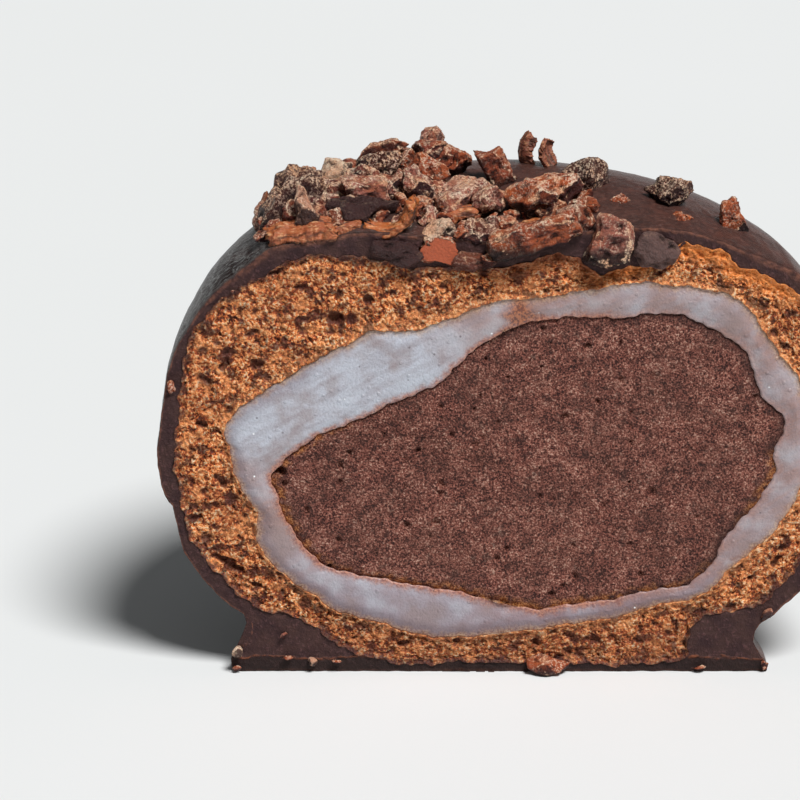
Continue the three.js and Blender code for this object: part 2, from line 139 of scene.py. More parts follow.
# Single nibs and husks, in millimetres: x, depth behind the cut, lift of the middle above the coat,
# length, width, height, turn about the upright axis and lean of the length in degrees, form, tone and cover.
# A nib's form is its taper to the top, below 0 for a squared slab, its tone goes from dark over red, brown
# and pink to cream, and its cover is pale dust. A husk's form is its bend in radians. Drips are smooth lumps
# of chocolate.
CHUNKS = [
    (-20.9, 5.0, 2.0, 8.8, 4.6, 4.6, 10, 64, -0.15, 0.45, 0.95),
    (-19.7, 7.0, 2.6, 4.2, 3.3, 3.1, 40, 10, 0, 0.4, 0.5),
    (-19.3, 2.0, 1.8, 3.0, 2.6, 5.0, -20, 8, 0.45, 0.88, 0.1),
    (-16.2, 11.0, 2.0, 3.6, 3.3, 3.4, 30, 15, 0.2, 1, 0.6),
    (-12.1, 14.0, 2.5, 6.0, 3.4, 3.6, 12, 18, 0, 0.12, 0.3),
    (-12.5, 9.0, 2.6, 4.7, 3.4, 2.9, -14, 30, 0, 0.45, 0.9),
    (-13.7, 5.6, 1.5, 5.9, 3.0, 2.4, 8, -4, -0.15, 0.7, 0.5),
    (-14.1, 2.9, 0.4, 8.0, 3.6, 3.2, -6, 8, 0, 0, 0.05),
    (-8.6, 6.6, 1.4, 4.6, 2.5, 2.7, 20, 98, 0.35, 0.65, 0.55),
    (-6.3, 0.5, -1.8, 5.2, 3.4, 3.6, 0, -10, 0, 0.3, 0),
    (-6.2, 1.4, -0.1, 3.2, 2.4, 2.6, 50, 12, 0, 0.95, 0.6),
    (-7.2, 16.0, 2.7, 2.9, 2.7, 2.5, -30, 8, 0, 0.75, 0.4),
    (-6.9, 14.0, 2.0, 3.7, 3.0, 2.9, 15, -12, 0, 0.45, 0.5),
    (-4.2, 12.6, 1.4, 2.5, 2.5, 2.5, 60, 35, 0, 0.25, 0.1),
    (-7.1, 9.8, 1.8, 4.5, 2.4, 2.0, -8, -32, 0, 0.3, 0.2),
    (-4.4, 9.2, 0.6, 3.5, 2.4, 1.7, 22, 6, 0, 0.8, 0.5),
    (-2.6, 7.4, 0.7, 3.6, 2.6, 2.0, -12, 10, 0, 0.62, 0.5),
    (-1.3, 5.4, 1.6, 3.4, 2.9, 3.0, 35, 25, 0, 0.7, 0.6),
    (-0.6, 11.0, 1.5, 5.2, 3.2, 3.0, 16, -66, -0.2, 0.35, 0.4),
    (4.3, 5.2, 1.9, 7.2, 4.2, 3.9, -10, 18, 0, 0.26, 0.5),
    (-2.1, 1.7, 0.2, 4.2, 2.7, 3.2, 40, -15, 0, 0.5, 0.7),
    (6.8, 1.5, 0.4, 3.9, 2.5, 3.5, -20, 40, 0, 0.1, 0.5),
    (8.3, 9.6, 0.7, 3.9, 3.5, 3.4, 25, 20, 0, 0.45, 0.9),
    (11.5, 6.2, -0.4, 2.2, 1.7, 1.5, 15, 12, 0, 0.25, 0.1),
    (16.5, 6.6, 1.0, 4.4, 3.7, 3.2, -25, 14, 0, 0.45, 0.95),
    (17.2, 3.4, -0.3, 2.9, 1.8, 1.5, 20, 8, 0, 0.25, 0),
    (22.5, 5.4, 0.9, 3.6, 2.8, 4.2, 20, 8, -0.55, 0.27, 0.1),
    (3.0, -0.1, 0.5, 10.8, 2.6, 2.9, 3, 17, -0.1, 0.2, 0.45),
    (-10.0, 1.9, 0.5, 1.6, 1.4, 1.5, 20, 10, 0, 0.75, 0.4),
    (-7.3, 3.2, 0.3, 2.2, 1.8, 1.8, 35, 5, 0, 0.7, 0.5),
    (-1.0, -0.1, -1.5, 2.6, 1.4, 1.6, 10, 20, 0, 0.35, 0.2),
    (-16.4, 2.2, 0.4, 3.4, 2.4, 2.2, -20, 12, 0, 0.1, 0.2),
    (4.6, 3.4, 0.7, 3.6, 2.4, 2.4, 25, 12, 0, 0.1, 0.3),
    (10.7, -0.5, -1.0, 5.6, 2.4, 5.8, 4, -8, -0.4, 0.68, 0.55),
    (-9.4, 13.8, 1.2, 3.8, 3.0, 3.0, 40, 20, 0, 0.15, 0.3),
    (-5.6, 13.2, 1.0, 3.2, 2.8, 2.8, 70, -10, 0, 0.4, 0.2),
]
DRIPS = [
    (15.0, -0.1, -2.2, 3.9, 1.4, 3.2, 0, 0, 0, 0, 0.4),
    (-10.4, -0.1, -1.6, 4.6, 1.2, 1.8, 4, -10, 0, 0, 0.1),
    (-9.6, -0.1, -2.2, 2.6, 1.2, 1.5, 0, 8, 0, 0, 0.1),
    (-3.2, -0.1, -2.1, 3.0, 1.3, 1.5, 0, 0, 0, 0.05, 0.1),
]
HUSKS = [
    (-23.9, 8.0, 1.0, 4.6, 1.6, 0.8, 30, 75, 0.6, 0.4, 0),
    (-19.9, 1.8, 0.9, 7.1, 3.4, 1.6, -4, 9, 0.3, 0.7, 0),
    (-15.3, 1.6, 0.4, 2.5, 2.0, 1.0, 10, 14, 0.4, 0.6, 0),
    (-10.5, 1.4, 0.3, 6.2, 2.5, 1.1, -8, 30, -2.2, 1, 0),
    (-4.1, 4.0, 1.0, 3.2, 2.0, 0.9, 12, 10, 0.8, 0.8, 0),
    (2.4, 2.2, 0.8, 2.7, 1.7, 0.8, -14, 18, 0.8, 0.8, 0),
    (2.1, 17.0, 1.4, 3.8, 2.4, 0.6, 25, 82, 1.6, 0.1, 0),
    (4.1, 16.4, 1.1, 3.5, 2.4, 0.6, -30, 100, 1.6, 0.2, 0),
]

# Nibs of the heap and grit between them, spread by a rule: the patch's middle and radius, the places that
# are tried, the least and most depth behind the cut, how far they keep clear of the listed nibs that are
# lifted less than the limit under, and their own lift. Of each nib: its length, its width and height as
# shares of the length, its lean and its tone. Tone and cover go on by a step from place to place.
HEAP = {
    "x": -11.5, "radius": 13.2, "points": 150, "nearest": 3.2, "farthest": 14.0, "clear": 2.3, "under": 1.8,
    "lift": 0.5, "seed": 3,
}
HEAP_NIB = {
    "length": (3.6, 6.0), "width": (0.65, 0.95), "height": (0.55, 0.8), "lean": (-30, 30),
    "tone": (0.05, 0.8),
}
GRIT = {
    "x": -6.5, "radius": 16.0, "points": 300, "nearest": 0.9, "farthest": 7.0, "clear": 1.2, "under": 9.0,
    "lift": 0.3, "seed": 6,
}
GRIT_NIB = {
    "length": (1.2, 2.6), "width": (0.6, 0.9), "height": (0.5, 0.9), "lean": (-40, 40),
    "tone": (0.0, 0.3),
}
TONE_STEP = 0.618
COVER_STEP = 0.39
MOST_COVER = 0.7

# Loose crumbs and a nib on the cut of the coat, in the form of the nibs, with their height above the floor as
# the lift.
BITS = [
    (-21.6, -0.1, 1.6, 1.3, 0.5, 0.4, 0, 4, 0, 0.25, 0.3),
    (-18.9, -0.1, 1.2, 0.8, 0.5, 0.6, 20, -30, 0, 0.9, 0.2),
    (-16.7, -0.1, 1.3, 1.2, 0.5, 0.35, 0, -6, 0, 0.25, 0.2),
    (-26.3, -0.1, 2.4, 0.8, 0.6, 0.7, 0, 30, 0, 0.95, 0.5),
    (-26.5, -0.1, 0.5, 0.9, 0.6, 0.4, 0, 0, 0, 0.3, 0.3),
    (-21.7, -0.1, 4.1, 0.8, 0.4, 0.3, 0, 35, 0, 0.75, 0.3),
    (19.7, -0.1, 0.5, 1.4, 0.6, 0.4, 0, 4, 0, 0.3, 0.3),
    (26.4, -0.1, 0.8, 0.7, 0.6, 0.9, 0, 0, 0, 0.27, 0.3),
    (4.9, -0.3, 0.95, 3.8, 1.6, 1.7, 0, -6, 0, 0.28, 0.2),
    (-32.5, -0.1, 30.6, 0.8, 0.6, 1.5, 0, 8, 0, 0.26, 0.2),
    (26.7, -0.1, 6.4, 1.3, 0.5, 0.6, 0, 40, 0, 0.8, 0.2),
    (-26.4, -0.1, 40.8, 0.5, 0.5, 0.4, 0, 40, 0, 0.75, 0.2),
]
GOLDEN_ANGLE = math.pi * (3 - math.sqrt(5))

# How far a nib may stand in front of the cut: one that hangs over it, and one that was cut with the rest.
OVERHANG = 2.2
FLUSH = 0.25

# The rule behind repeatable chance: its range, its start, and its factor and step from number to number.
CHANCE = {"range": 2**32, "start": 2654435761, "factor": 1664525, "step": 1013904223}

# Tickets kept for each nib, one of which each of its planes draws. How far the grain is shifted from one nib
# or husk to the next, in millimetres, so that no two are alike.
TICKETS = 61.0
NIB_SHIFT = (13.7, 5.3, 0.0)
HUSK_SHIFT = (7.3, 3.1, 0.0)

# A height above all of the doughnut, and a depth at which the coat is surely there behind its cut edge.
ABOVE_ALL = 200.0
SURE_DEPTH = 0.05

# Large pores in the crumb: x, height, half length, half width, lean in degrees and depth.
PORES = [
    (-16.5, 37.6, 0.95, 0.85, 0, 1.9), (-13.3, 39.8, 0.7, 0.5, -20, 1.3), (-24.2, 32.9, 0.8, 0.6, 10, 1.4),
    (-27.4, 32.8, 0.9, 0.45, 60, 1.4), (-22.4, 42.6, 1.1, 0.4, 15, 1.2), (-29.7, 26.5, 0.6, 0.5, 0, 1.3),
    (-27.6, 20.4, 0.75, 0.45, -50, 1.3), (-27.3, 11.7, 2.1, 0.5, -32, 1.8), (-30.4, 16.5, 0.6, 0.35, 20, 1.1),
    (-24.6, 9.3, 0.9, 0.35, -30, 1.2), (-24.7, 36.2, 0.9, 0.5, 10, 1.0), (-19.8, 41.0, 0.9, 0.4, 20, 1.1),
    (31.3, 30.5, 0.6, 0.4, 80, 1.1), (27.5, 11.9, 0.8, 0.4, 40, 1.2), (9.5, 3.2, 0.7, 0.4, 0, 1.1),
    (-9.8, 3.0, 0.8, 0.35, 10, 1.0), (-6.0, 41.0, 0.5, 0.4, 0, 1.0), (3.6, 3.0, 0.6, 0.4, 0, 1.0),
]

# The hole at the left tip of the paste, in the same form.
PASTE_HOLE = (-22.1, 21.6, 0.8, 0.5, -30, 1.6)

# Where crumb and paste are smeared over the rice dough: x and height. The way its streaks lean, in degrees.
SMEAR = (1.0, 38.2)
STREAK_LEAN = 30

# Where the axis and the cut lie in the part's frame.
cut_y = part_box("cake_crumb")[0].y
axis_x = (max(x for x, _ in COAT["left"]) - max(x for x, _ in COAT["right"])) / 2
reach_back = (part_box("chocolate_coat")[1].y - cut_y) / MM
depth_share = reach_back / max(x for x, _ in COAT["back"])

# The camera looks along +Y and down. The picture is this wide at the cut face, and its middle is
# this far to the left of the axis and this high on the cut face.
CAMERA = {"elevation": 21, "distance": 600, "width": 79, "x": -10.1, "height": 29.3}

# A soft sun that shines down from the front right, with its width in degrees, a dim sky, and half the
# floor's width in metres.
SUN = {"strength": 3.75, "width": 20, "towards": (-0.36, 0.5, -1.0)}
SKY = {"colour": (0.9, 0.93, 0.95, 1.0), "strength": 0.115}
FLOOR_REACH = 3.0


def spaced(points, count):
    """Points at equal steps along a line of points."""
    points = np.asarray(points, float)
    run = np.concatenate([[0], np.cumsum(np.linalg.norm(np.diff(points, axis=0), axis=1))])
    at = np.linspace(0, run[-1], count + 1)
    return np.stack([np.interp(at, run, points[:, i]) for i in (0, 1)], axis=1)


def smooth(points, fineness=30):
    """A smooth line through the points."""
    p = np.asarray(points, float)
    p = np.vstack([p[:1], p, p[-1:]])
    t = np.linspace(0, 1, fineness, endpoint=False)[:, None]
    line = []
    for a, b, c, d in zip(p, p[1:], p[2:], p[3:]):
        into, out = (c - a) / 2, (d - b) / 2
        cubic = 2 * b - 2 * c + into + out
        square = 3 * c - 3 * b - 2 * into - out
        line.append(cubic * t**3 + square * t**2 + into * t + b)
    return np.vstack([*line, p[-1:]])


def wavered(line, share, shift):
    """The line with small waves across it, which die out at its ends."""
    run = np.concatenate([[0], np.cumsum(np.linalg.norm(np.diff(line, axis=0), axis=1))])
    ends = np.clip(np.minimum(run, run[-1] - run) / WAVE_END, 0, 1)
    wave = sum(high * np.sin(2 * math.pi * often * run + k + shift) for k, (often, high) in enumerate(WAVES))
    along = np.gradient(line, axis=0)
    across = np.stack([along[:, 1], -along[:, 0]], axis=1)
    across /= np.maximum(np.linalg.norm(across, axis=1, keepdims=True), 1e-9)
    return line + across * (wave * ends * share)[:, None]


def outlines(layer, steps):
    """The layer's outlines to the right, back and left in equal steps, uneven at the cut."""
    made = {}
    for shift, (side, points) in enumerate(OUTLINES[layer].items()):
        line = smooth(points)
        if points[0][0] > 0:
            line = np.vstack([[(0, 0)], line])
        if side != "back":
            line = wavered(spaced(line, FINEST), UNEVEN[layer], WAVE_SHIFT * shift)
        made[side] = spaced(line, steps)
    made.setdefault("back", (made["right"] + made["left"]) / 2)
    return made


def loop_of(lines):
    """The closed line round the cut face: up the right side and down the left, as x and height."""
    return np.vstack([lines["right"], lines["left"][-2:0:-1] * (-1, 1)])


def placed(x, depth, height):
    """Millimetres from the axis, behind the cut and above the floor, as a place in the frame."""
    return np.stack([(x + axis_x) * MM, cut_y + depth * MM, height * MM], axis=-1)


class Shell:
    """A mesh under construction: its points, faces and point attributes."""

    def __init__(self):
        self.points = []
        self.faces = []
        self.count = 0
        self.values = {}

    def add(self, points, **values):
        """Adds points and returns their numbers. Values are kept for each point, 0 where not given."""
        numbers = np.arange(self.count, self.count + len(points))
        self.points.append(points)
        for name, value in values.items():
            self.values.setdefault(name, []).append((numbers, value))
        self.count += len(points)
        return numbers

    def net(self, numbers):
        """Faces between the rows and columns of a table of point numbers."""
        a, b, c, d = numbers[:-1, :-1], numbers[:-1, 1:], numbers[1:, 1:], numbers[1:, :-1]
        for face in np.stack([a, b, c, d], axis=-1).reshape(-1, 4).tolist():
            corners = list(dict.fromkeys(face))
            if len(corners) > 2:
                self.faces.append(corners)

    def turn(self, lines, edge, rings):
        """The round surface behind the cut, from the edge's right half to its left half."""
        steps = len(lines["right"]) - 1
        widest = lines["back"][:, 0].max()
        along = np.linspace(0, np.linalg.norm(np.diff(lines["back"], axis=0), axis=1).sum(), steps + 1)
        table = np.zeros((rings + 1, steps + 1), int)
        table[0] = edge[: steps + 1]
        table[-1] = np.concatenate([edge[:1], edge[: steps - 1 : -1]])
        for ring in range(1, rings):
            angle = math.pi * ring / rings
            side = lines["right"] if math.cos(angle) > 0 else lines["left"]
            swollen = 1 - np.exp(-side[:, :1] * math.sin(angle) / SWELL)
            line = side + (lines["back"] - side) * swollen
            depth = line[:, 0] * math.sin(angle) * depth_share
            made = placed(line[:, 0] * math.cos(angle), depth, line[:, 1])
            table[ring, 1:-1] = self.add(made[1:-1], along=along[1:-1], around=angle * widest)
            table[ring, [0, -1]] = table[0, [0, -1]]
        self.net(table)

    def piece(self, name):
        """The finished object, with all faces pointing out."""
        mesh = bpy.data.meshes.new(name)
        mesh.from_pydata(np.vstack(self.points).tolist(), [], self.faces)
        built = bmesh.new()
        built.from_mesh(mesh)
        bmesh.ops.recalc_face_normals(built, faces=built.faces)
        built.to_mesh(mesh)
        built.free()
        for key, parts in self.values.items():
            whole = np.zeros(self.count, np.float32)
            for numbers, value in parts:
                whole[numbers] = value
            mesh.attributes.new(key, "FLOAT", "POINT").data.foreach_set("value", whole)
        mesh.shade_smooth()
        made = bpy.data.objects.new(name, mesh)
        bpy.context.scene.collection.objects.link(made)
        return made


def layer_piece(name, within):
    """A closed layer round the one within it: its cut face, its outside and its inside."""
    mesh = MESH[name]
    rows = mesh["rows"]
    outer, inner = (outlines(layer, mesh["steps"]) for layer in (name, within))
    shell = Shell()
    rim, hem = loop_of(outer), loop_of(inner)
    wide = np.linalg.norm(rim - hem, axis=1)
    table = np.zeros((rows + 1, len(rim) + 1), int)
    for row in range(rows + 1):
        share = row / rows
        line = hem + (rim - hem) * share
        face = placed(line[:, 0], np.zeros(len(line)), line[:, 1])
        made = shell.add(face, cut=1.0, to_rim=wide * (1 - share), to_hem=wide * share)
        table[row] = np.append(made, made[0])
    shell.net(table)
    shell.turn(outer, table[-1, :-1], mesh["rings"])
    shell.turn(inner, table[0, :-1], mesh["inner_rings"])
    return shell.piece(name)


def core_piece(name):
    """A closed core: a cut face of squares that bend to the outline, and its round back."""
    count = MESH[name]["cells"]
    outer = outlines(name, 2 * count)
    shell = Shell()
    rim = loop_of(outer)
    middle = rim.mean(axis=0)
    a, b = np.meshgrid(np.linspace(-1, 1, count + 1), np.linspace(-1, 1, count + 1), indexing="ij")
    share = np.maximum(np.abs(a), np.abs(b))
    across, up = (np.divide(v, share, out=np.zeros_like(v), where=share > 0) for v in (a, b))
    right = np.where(across >= 1, 2 + up, np.where(up >= 1, 4 - across, across))
    way = np.where(across <= -1, 6 - up, np.where((up <= -1) & (across < 0), 8 + across, right)) / 8
    at = way * len(rim)
    low = np.floor(at).astype(int)
    part = (at - low)[..., None]
    edge = rim[low % len(rim)] * (1 - part) + rim[(low + 1) % len(rim)] * part
    face = middle + (edge - middle) * share[..., None]
    to_rim = np.linalg.norm(edge - face, axis=-1)
    made = shell.add(
        placed(face[..., 0].ravel(), np.zeros(face[..., 0].size), face[..., 1].ravel()),
        cut=1.0, to_rim=to_rim.ravel(),
    ).reshape(a.shape)
    shell.net(made)
    border = share >= 1
    order = np.argsort(at[border])
    shell.turn(outer, made[border][order], MESH[name]["rings"])
    return shell.piece(name)


# Short ways to build node trees


def feed(tree, socket, value):
    """Links or sets one input."""
    if isinstance(value, bpy.types.NodeSocket):
        tree.links.new(value, socket)
    else:
        socket.default_value = value


def add(tree, kind, inputs=None, **settings):
    """A new node with its settings and inputs."""
    made = tree.nodes.new(kind)
    for name, value in settings.items():
        setattr(made, name, value)
    for key, value in (inputs or {}).items():
        feed(tree, made.inputs[key], value)
    return made


def calc(tree, operation, *values):
    """The result of a sum on numbers."""
    made = add(tree, "ShaderNodeMath", operation=operation)
    for socket, value in zip(made.inputs, values):
        feed(tree, socket, value)
    return made.outputs[0]


def chain(tree, operation, values):
    """The result of one sum on a row of numbers, from the first to the last."""
    result = values[0]
    for value in values[1:]:
        result = calc(tree, operation, result, value)
    return result


def times(tree, *values):
    """The product of numbers."""
    return chain(tree, "MULTIPLY", values)


def plus(tree, *values):
    """The total of numbers."""
    return chain(tree, "ADD", values)


def minus(tree, value, less):
    """A number less another one."""
    return calc(tree, "SUBTRACT", value, less)


def larger(tree, *values):
    """The largest of some numbers."""
    return chain(tree, "MAXIMUM", values)


def smaller(tree, a, b):
    """The smaller of two numbers."""
    return calc(tree, "MINIMUM", a, b)


def vector(tree, operation, *values):
    """The result of a sum on vectors."""
    made = add(tree, "ShaderNodeVectorMath", operation=operation)
    for socket, value in zip(made.inputs, values):
        feed(tree, socket, value)
    return made.outputs["Value" if operation in ("DOT_PRODUCT", "LENGTH", "DISTANCE") else "Vector"]


def scaled(tree, value, factor):
    """A vector times a number."""
    return add(tree, "ShaderNodeVectorMath", {"Vector": value, "Scale": factor}, operation="SCALE").outputs[0]


def span(tree, value, low, high, first=0.0, last=1.0):
    """Goes smoothly from first to last as the value goes from low to high."""
    inputs = {"Value": value, "From Min": low, "From Max": high, "To Min": first, "To Max": last}
    return add(tree, "ShaderNodeMapRange", inputs, interpolation_type="SMOOTHSTEP").outputs[0]


def noise(tree, place, scale, detail=2.0, roughness=0.5, output="Fac"):
    """Soft noise from 0 to 1, with its scale in waves for each unit of the place."""
    inputs = {"Vector": place, "Scale": scale, "Detail": detail, "Roughness": roughness}
    return add(tree, "ShaderNodeTexNoise", inputs).outputs[output]


def stirring(tree, place, scale, detail=2.0, roughness=0.5):
    """Soft noise in each direction, from -0.5 to 0.5."""
    return vector(tree, "SUBTRACT", noise(tree, place, scale, detail, roughness, "Color"), (0.5, 0.5, 0.5))


def cells(tree, place, scale):
    """Cells around scattered points, with their scale in cells for each unit of the place."""
    return add(tree, "ShaderNodeTexVoronoi", {"Vector": place, "Scale": scale}, feature="F1").outputs


def mixed(tree, factor, a, b):
    """A colour between two colours, each a socket or a six-figure code."""
    a, b = (tint(colour) if isinstance(colour, str) else colour for colour in (a, b))
    return add(tree, "ShaderNodeMix", {0: factor, 6: a, 7: b}, data_type="RGBA").outputs[2]


def parts_of(tree, value):
    """The x, y and z of a vector."""
    return add(tree, "ShaderNodeSeparateXYZ", {0: value}).outputs


def joined(tree, x, y, z):
    """A vector from its x, y and z."""
    return add(tree, "ShaderNodeCombineXYZ", {0: x, 1: y, 2: z}).outputs[0]


def own(tree, name, kind="FLOAT"):
    """A value kept on the points of the mesh that a shape tree works on."""
    return add(tree, "GeometryNodeInputNamedAttribute", {"Name": name}, data_type=kind).outputs[0]


def kept(tree, shape, name, value, kind="FLOAT"):
    """Keeps a value on the points of a mesh."""
    inputs = {"Geometry": shape, "Name": name, "Value": value}
    return add(tree, "GeometryNodeStoreNamedAttribute", inputs, data_type=kind).outputs[0]


def shape_tree(name, sizes):
    """An empty shape tree with named sizes. Returns the tree and its inputs."""
    tree = bpy.data.node_groups.new(name, "GeometryNodeTree")
    tree.interface.new_socket("Geometry", in_out="INPUT", socket_type="NodeSocketGeometry")
    tree.interface.new_socket("Geometry", in_out="OUTPUT", socket_type="NodeSocketGeometry")
    for key, value in sizes.items():
        kind = {float: "NodeSocketFloat", int: "NodeSocketInt"}.get(type(value), "NodeSocketMaterial")
        tree.interface.new_socket(key, in_out="INPUT", socket_type=kind).default_value = value
    return tree, tree.nodes.new("NodeGroupInput").outputs


def end_tree(tree, shape, material):
    """Ends a shape tree in plain mesh with its material."""
    real = add(tree, "GeometryNodeRealizeInstances", {0: shape}).outputs[0]
    finished = add(tree, "GeometryNodeSetMaterial", {"Geometry": real, "Material": material}).outputs[0]
    tree.links.new(finished, tree.nodes.new("NodeGroupOutput").inputs[0])
    return tree


def apply_tree(piece, tree, **sizes):
    """Runs a shape tree on a piece and keeps the result as its plain mesh."""
    modifier = piece.modifiers.new(tree.name, "NODES")
    modifier.node_group = tree
    sockets = {item.name: item.identifier for item in tree.interface.items_tree if item.in_out == "INPUT"}
    for key, value in sizes.items():
        modifier[sockets[key.replace("_", " ").capitalize()]] = value
    graph = bpy.context.evaluated_depsgraph_get()
    mesh = bpy.data.meshes.new_from_object(
        piece.evaluated_get(graph), preserve_all_data_layers=True, depsgraph=graph
    )
    piece.modifiers.remove(modifier)
    old, piece.data = piece.data, mesh
    bpy.data.meshes.remove(old)
    mesh.name = piece.name
    mesh.shade_smooth()
    return piece


def in_mm(tree):
    """The place of each point in millimetres, from the frame's origin."""
    return scaled(tree, add(tree, "GeometryNodeInputPosition").outputs[0], 1 / MM)


def moved(tree, shape, offset):
    """Moves the points of a mesh by an offset in millimetres."""
    inputs = {"Geometry": shape, "Offset": scaled(tree, offset, MM)}
    return add(tree, "GeometryNodeSetPosition", inputs).outputs[0]


# Relief of the cut faces and of the coat


def pits(tree, place, scale, share, widest):
    """Round pits of uneven size, one in a share of the cells: 0 outside and 1 at the bottom."""
    outputs = cells(tree, place, scale)
    luck = parts_of(tree, outputs["Color"])[0]
    radius = span(tree, luck, 1 - share, 1.0, 0.01, widest)
    return span(tree, outputs["Distance"], times(tree, radius, 0.15), radius, 1.0, 0.0)


def leaned(tree, value, angle):
    """A vector turned about the Y axis, by an angle in degrees."""
    inputs = {"Vector": value, "Angle": math.radians(angle)}
    return add(tree, "ShaderNodeVectorRotate", inputs, rotation_type="Y_AXIS").outputs[0]


def pore_mask(tree, place, pore):
    """One long pore: 0 outside and 1 in its middle."""
    x, height, length, width, lean, _ = pore
    away = vector(tree, "SUBTRACT", place, (x + axis_x, cut_y / MM, height))
    far = vector(tree, "LENGTH", vector(tree, "DIVIDE", leaned(tree, away, lean), (length, 50.0, width)))
    return span(tree, far, 0.4, 1.15, 1.0, 0.0)


def crumb_relief(material):
    """Pores of all sizes and a fine torn grain, sunk into the cut face of the crumb."""
    tree, sizes = shape_tree("Crumb relief", {"Pore depth": 0.5, "Grain height": 0.4, "Material": material})
    place = in_mm(tree)
    stir = stirring(tree, place, 0.9, 4.0, 0.7)
    stirred = vector(tree, "ADD", place, scaled(tree, stir, 1.8))
    coarse = pits(tree, stirred, 0.4, 0.45, 0.5)
    middle = times(tree, pits(tree, stirred, 0.8, 0.6, 0.6), 0.8)
    small = times(tree, pits(tree, vector(tree, "ADD", place, scaled(tree, stir, 0.9)), 1.5, 0.5, 0.6), 0.5)
    hollows = span(tree, noise(tree, place, 0.75, 6.0, 0.7), 0.36, 0.46, 0.6, 0.0)
    depth = larger(tree, coarse, middle, small, hollows)
    for pore in PORES:
        depth = larger(tree, depth, times(tree, pore_mask(tree, stirred, pore), pore[-1]))
    torn = noise(tree, place, 1.7, 5.0, 0.78)
    low = times(tree, span(tree, torn, 0.3, 0.7, 1.0, 0.0), sizes["Grain height"])
    ragged = times(tree, noise(tree, place, 0.5, 3.0), 0.4)
    whole = plus(tree, times(tree, depth, sizes["Pore depth"]), plus(tree, low, ragged))
    edge = smaller(tree, own(tree, "to_rim"), own(tree, "to_hem"))
    cut = own(tree, "cut")
    hold = times(tree, cut, span(tree, edge, 0.0, 0.5, 0.3, 1.0))
    back = times(tree, whole, hold)
    aside = times(tree, span(tree, edge, 0.1, 0.7, 0.0, 0.35), cut)
    sway = scaled(tree, stir, aside)
    shape = kept(tree, sizes["Geometry"], "sunk", times(tree, depth, hold))
    shape = kept(tree, shape, "torn", torn)
    shape = moved(tree, shape, vector(tree, "ADD", sway, joined(tree, 0.0, back, 0.0)))
    return end_tree(tree, shape, sizes["Material"])


def paste_relief(material):
    """A torn, grainy face with small pits, low along the edge of the paste."""
    tree, sizes = shape_tree("Paste relief", {"Grain depth": 0.16, "Pit depth": 0.5, "Material": material})
    place = in_mm(tree)
    stir = stirring(tree, place, 1.6, 2.0)
    stirred = vector(tree, "ADD", place, scaled(tree, stir, 0.6))
    grain = cells(tree, stirred, 2.6)["Distance"]
    lumps = noise(tree, place, 0.45, 4.0, 0.65)
    holes = larger(tree, pits(tree, stirred, 0.42, 0.22, 0.3), pits(tree, stirred, 0.9, 0.25, 0.5))
    tip = times(tree, pore_mask(tree, stirred, PASTE_HOLE), PASTE_HOLE[-1])
    fine = times(tree, grain, sizes["Grain depth"])
    deep = larger(tree, tip, times(tree, holes, sizes["Pit depth"]))
    low_edge = span(tree, own(tree, "to_rim"), 0.0, 0.8, 0.25, 0.0)
    depth = plus(tree, fine, times(tree, lumps, 0.55), deep, low_edge)
    back = times(tree, depth, own(tree, "cut"))
    shape = moved(tree, sizes["Geometry"], joined(tree, 0.0, back, 0.0))
    return end_tree(tree, shape, sizes["Material"])


def mochi_relief(material):
    """A soft, faintly rippled face that falls back a little towards its edges."""
    tree, sizes = shape_tree("Mochi relief", {"Ripple depth": 0.12, "Swell": 0.25, "Material": material})
    place = in_mm(tree)
    streaked = vector(tree, "MULTIPLY", place, (0.35, 1.0, 1.6))
    ripples = noise(tree, streaked, 0.9, 3.0)
    to_rim, to_hem = own(tree, "to_rim"), own(tree, "to_hem")
    wide = plus(tree, to_rim, to_hem)
    edge = smaller(tree, to_rim, to_hem)
    swell = times(tree, span(tree, edge, 0.0, 1.6, 1.0, 0.0), sizes["Swell"])
    back = plus(tree, times(tree, ripples, sizes["Ripple depth"]), swell)
    back = times(tree, back, own(tree, "cut"))
    shape = kept(tree, sizes["Geometry"], "wide", wide)
    shape = moved(tree, shape, joined(tree, 0.0, back, 0.0))
    return end_tree(tree, shape, sizes["Material"])


def coat_relief(material):
    """Slow waves and fine wrinkles over the outside of the coat, and knife marks on its cut."""
    tree, sizes = shape_tree(
        "Coat relief", {"Wave height": 0.35, "Wrinkle height": 0.12, "Material": material}
    )
    place = in_mm(tree)
    cut = own(tree, "cut")
    outside = minus(tree, 1.0, cut)
    waves = minus(tree, noise(tree, place, 0.12, 2.0), 0.5)
    wrinkles = minus(tree, noise(tree, place, 1.1, 4.0, 0.6), 0.5)
    rise = plus(tree, times(tree, waves, sizes["Wave height"]),
                times(tree, wrinkles, sizes["Wrinkle height"]))
    off_floor = span(tree, parts_of(tree, place)[2], 0.2, 1.5)
    rise = times(tree, rise, outside, off_floor)
    normal = add(tree, "GeometryNodeInputNormal").outputs[0]
    marks = times(tree, noise(tree, place, 0.6, 4.0, 0.6), 0.5)
    sunk = joined(tree, 0.0, times(tree, marks, cut), 0.0)
    shape = moved(tree, sizes["Geometry"], vector(tree, "ADD", scaled(tree, normal, rise), sunk))
    return end_tree(tree, shape, sizes["Material"])


# Nibs and husks


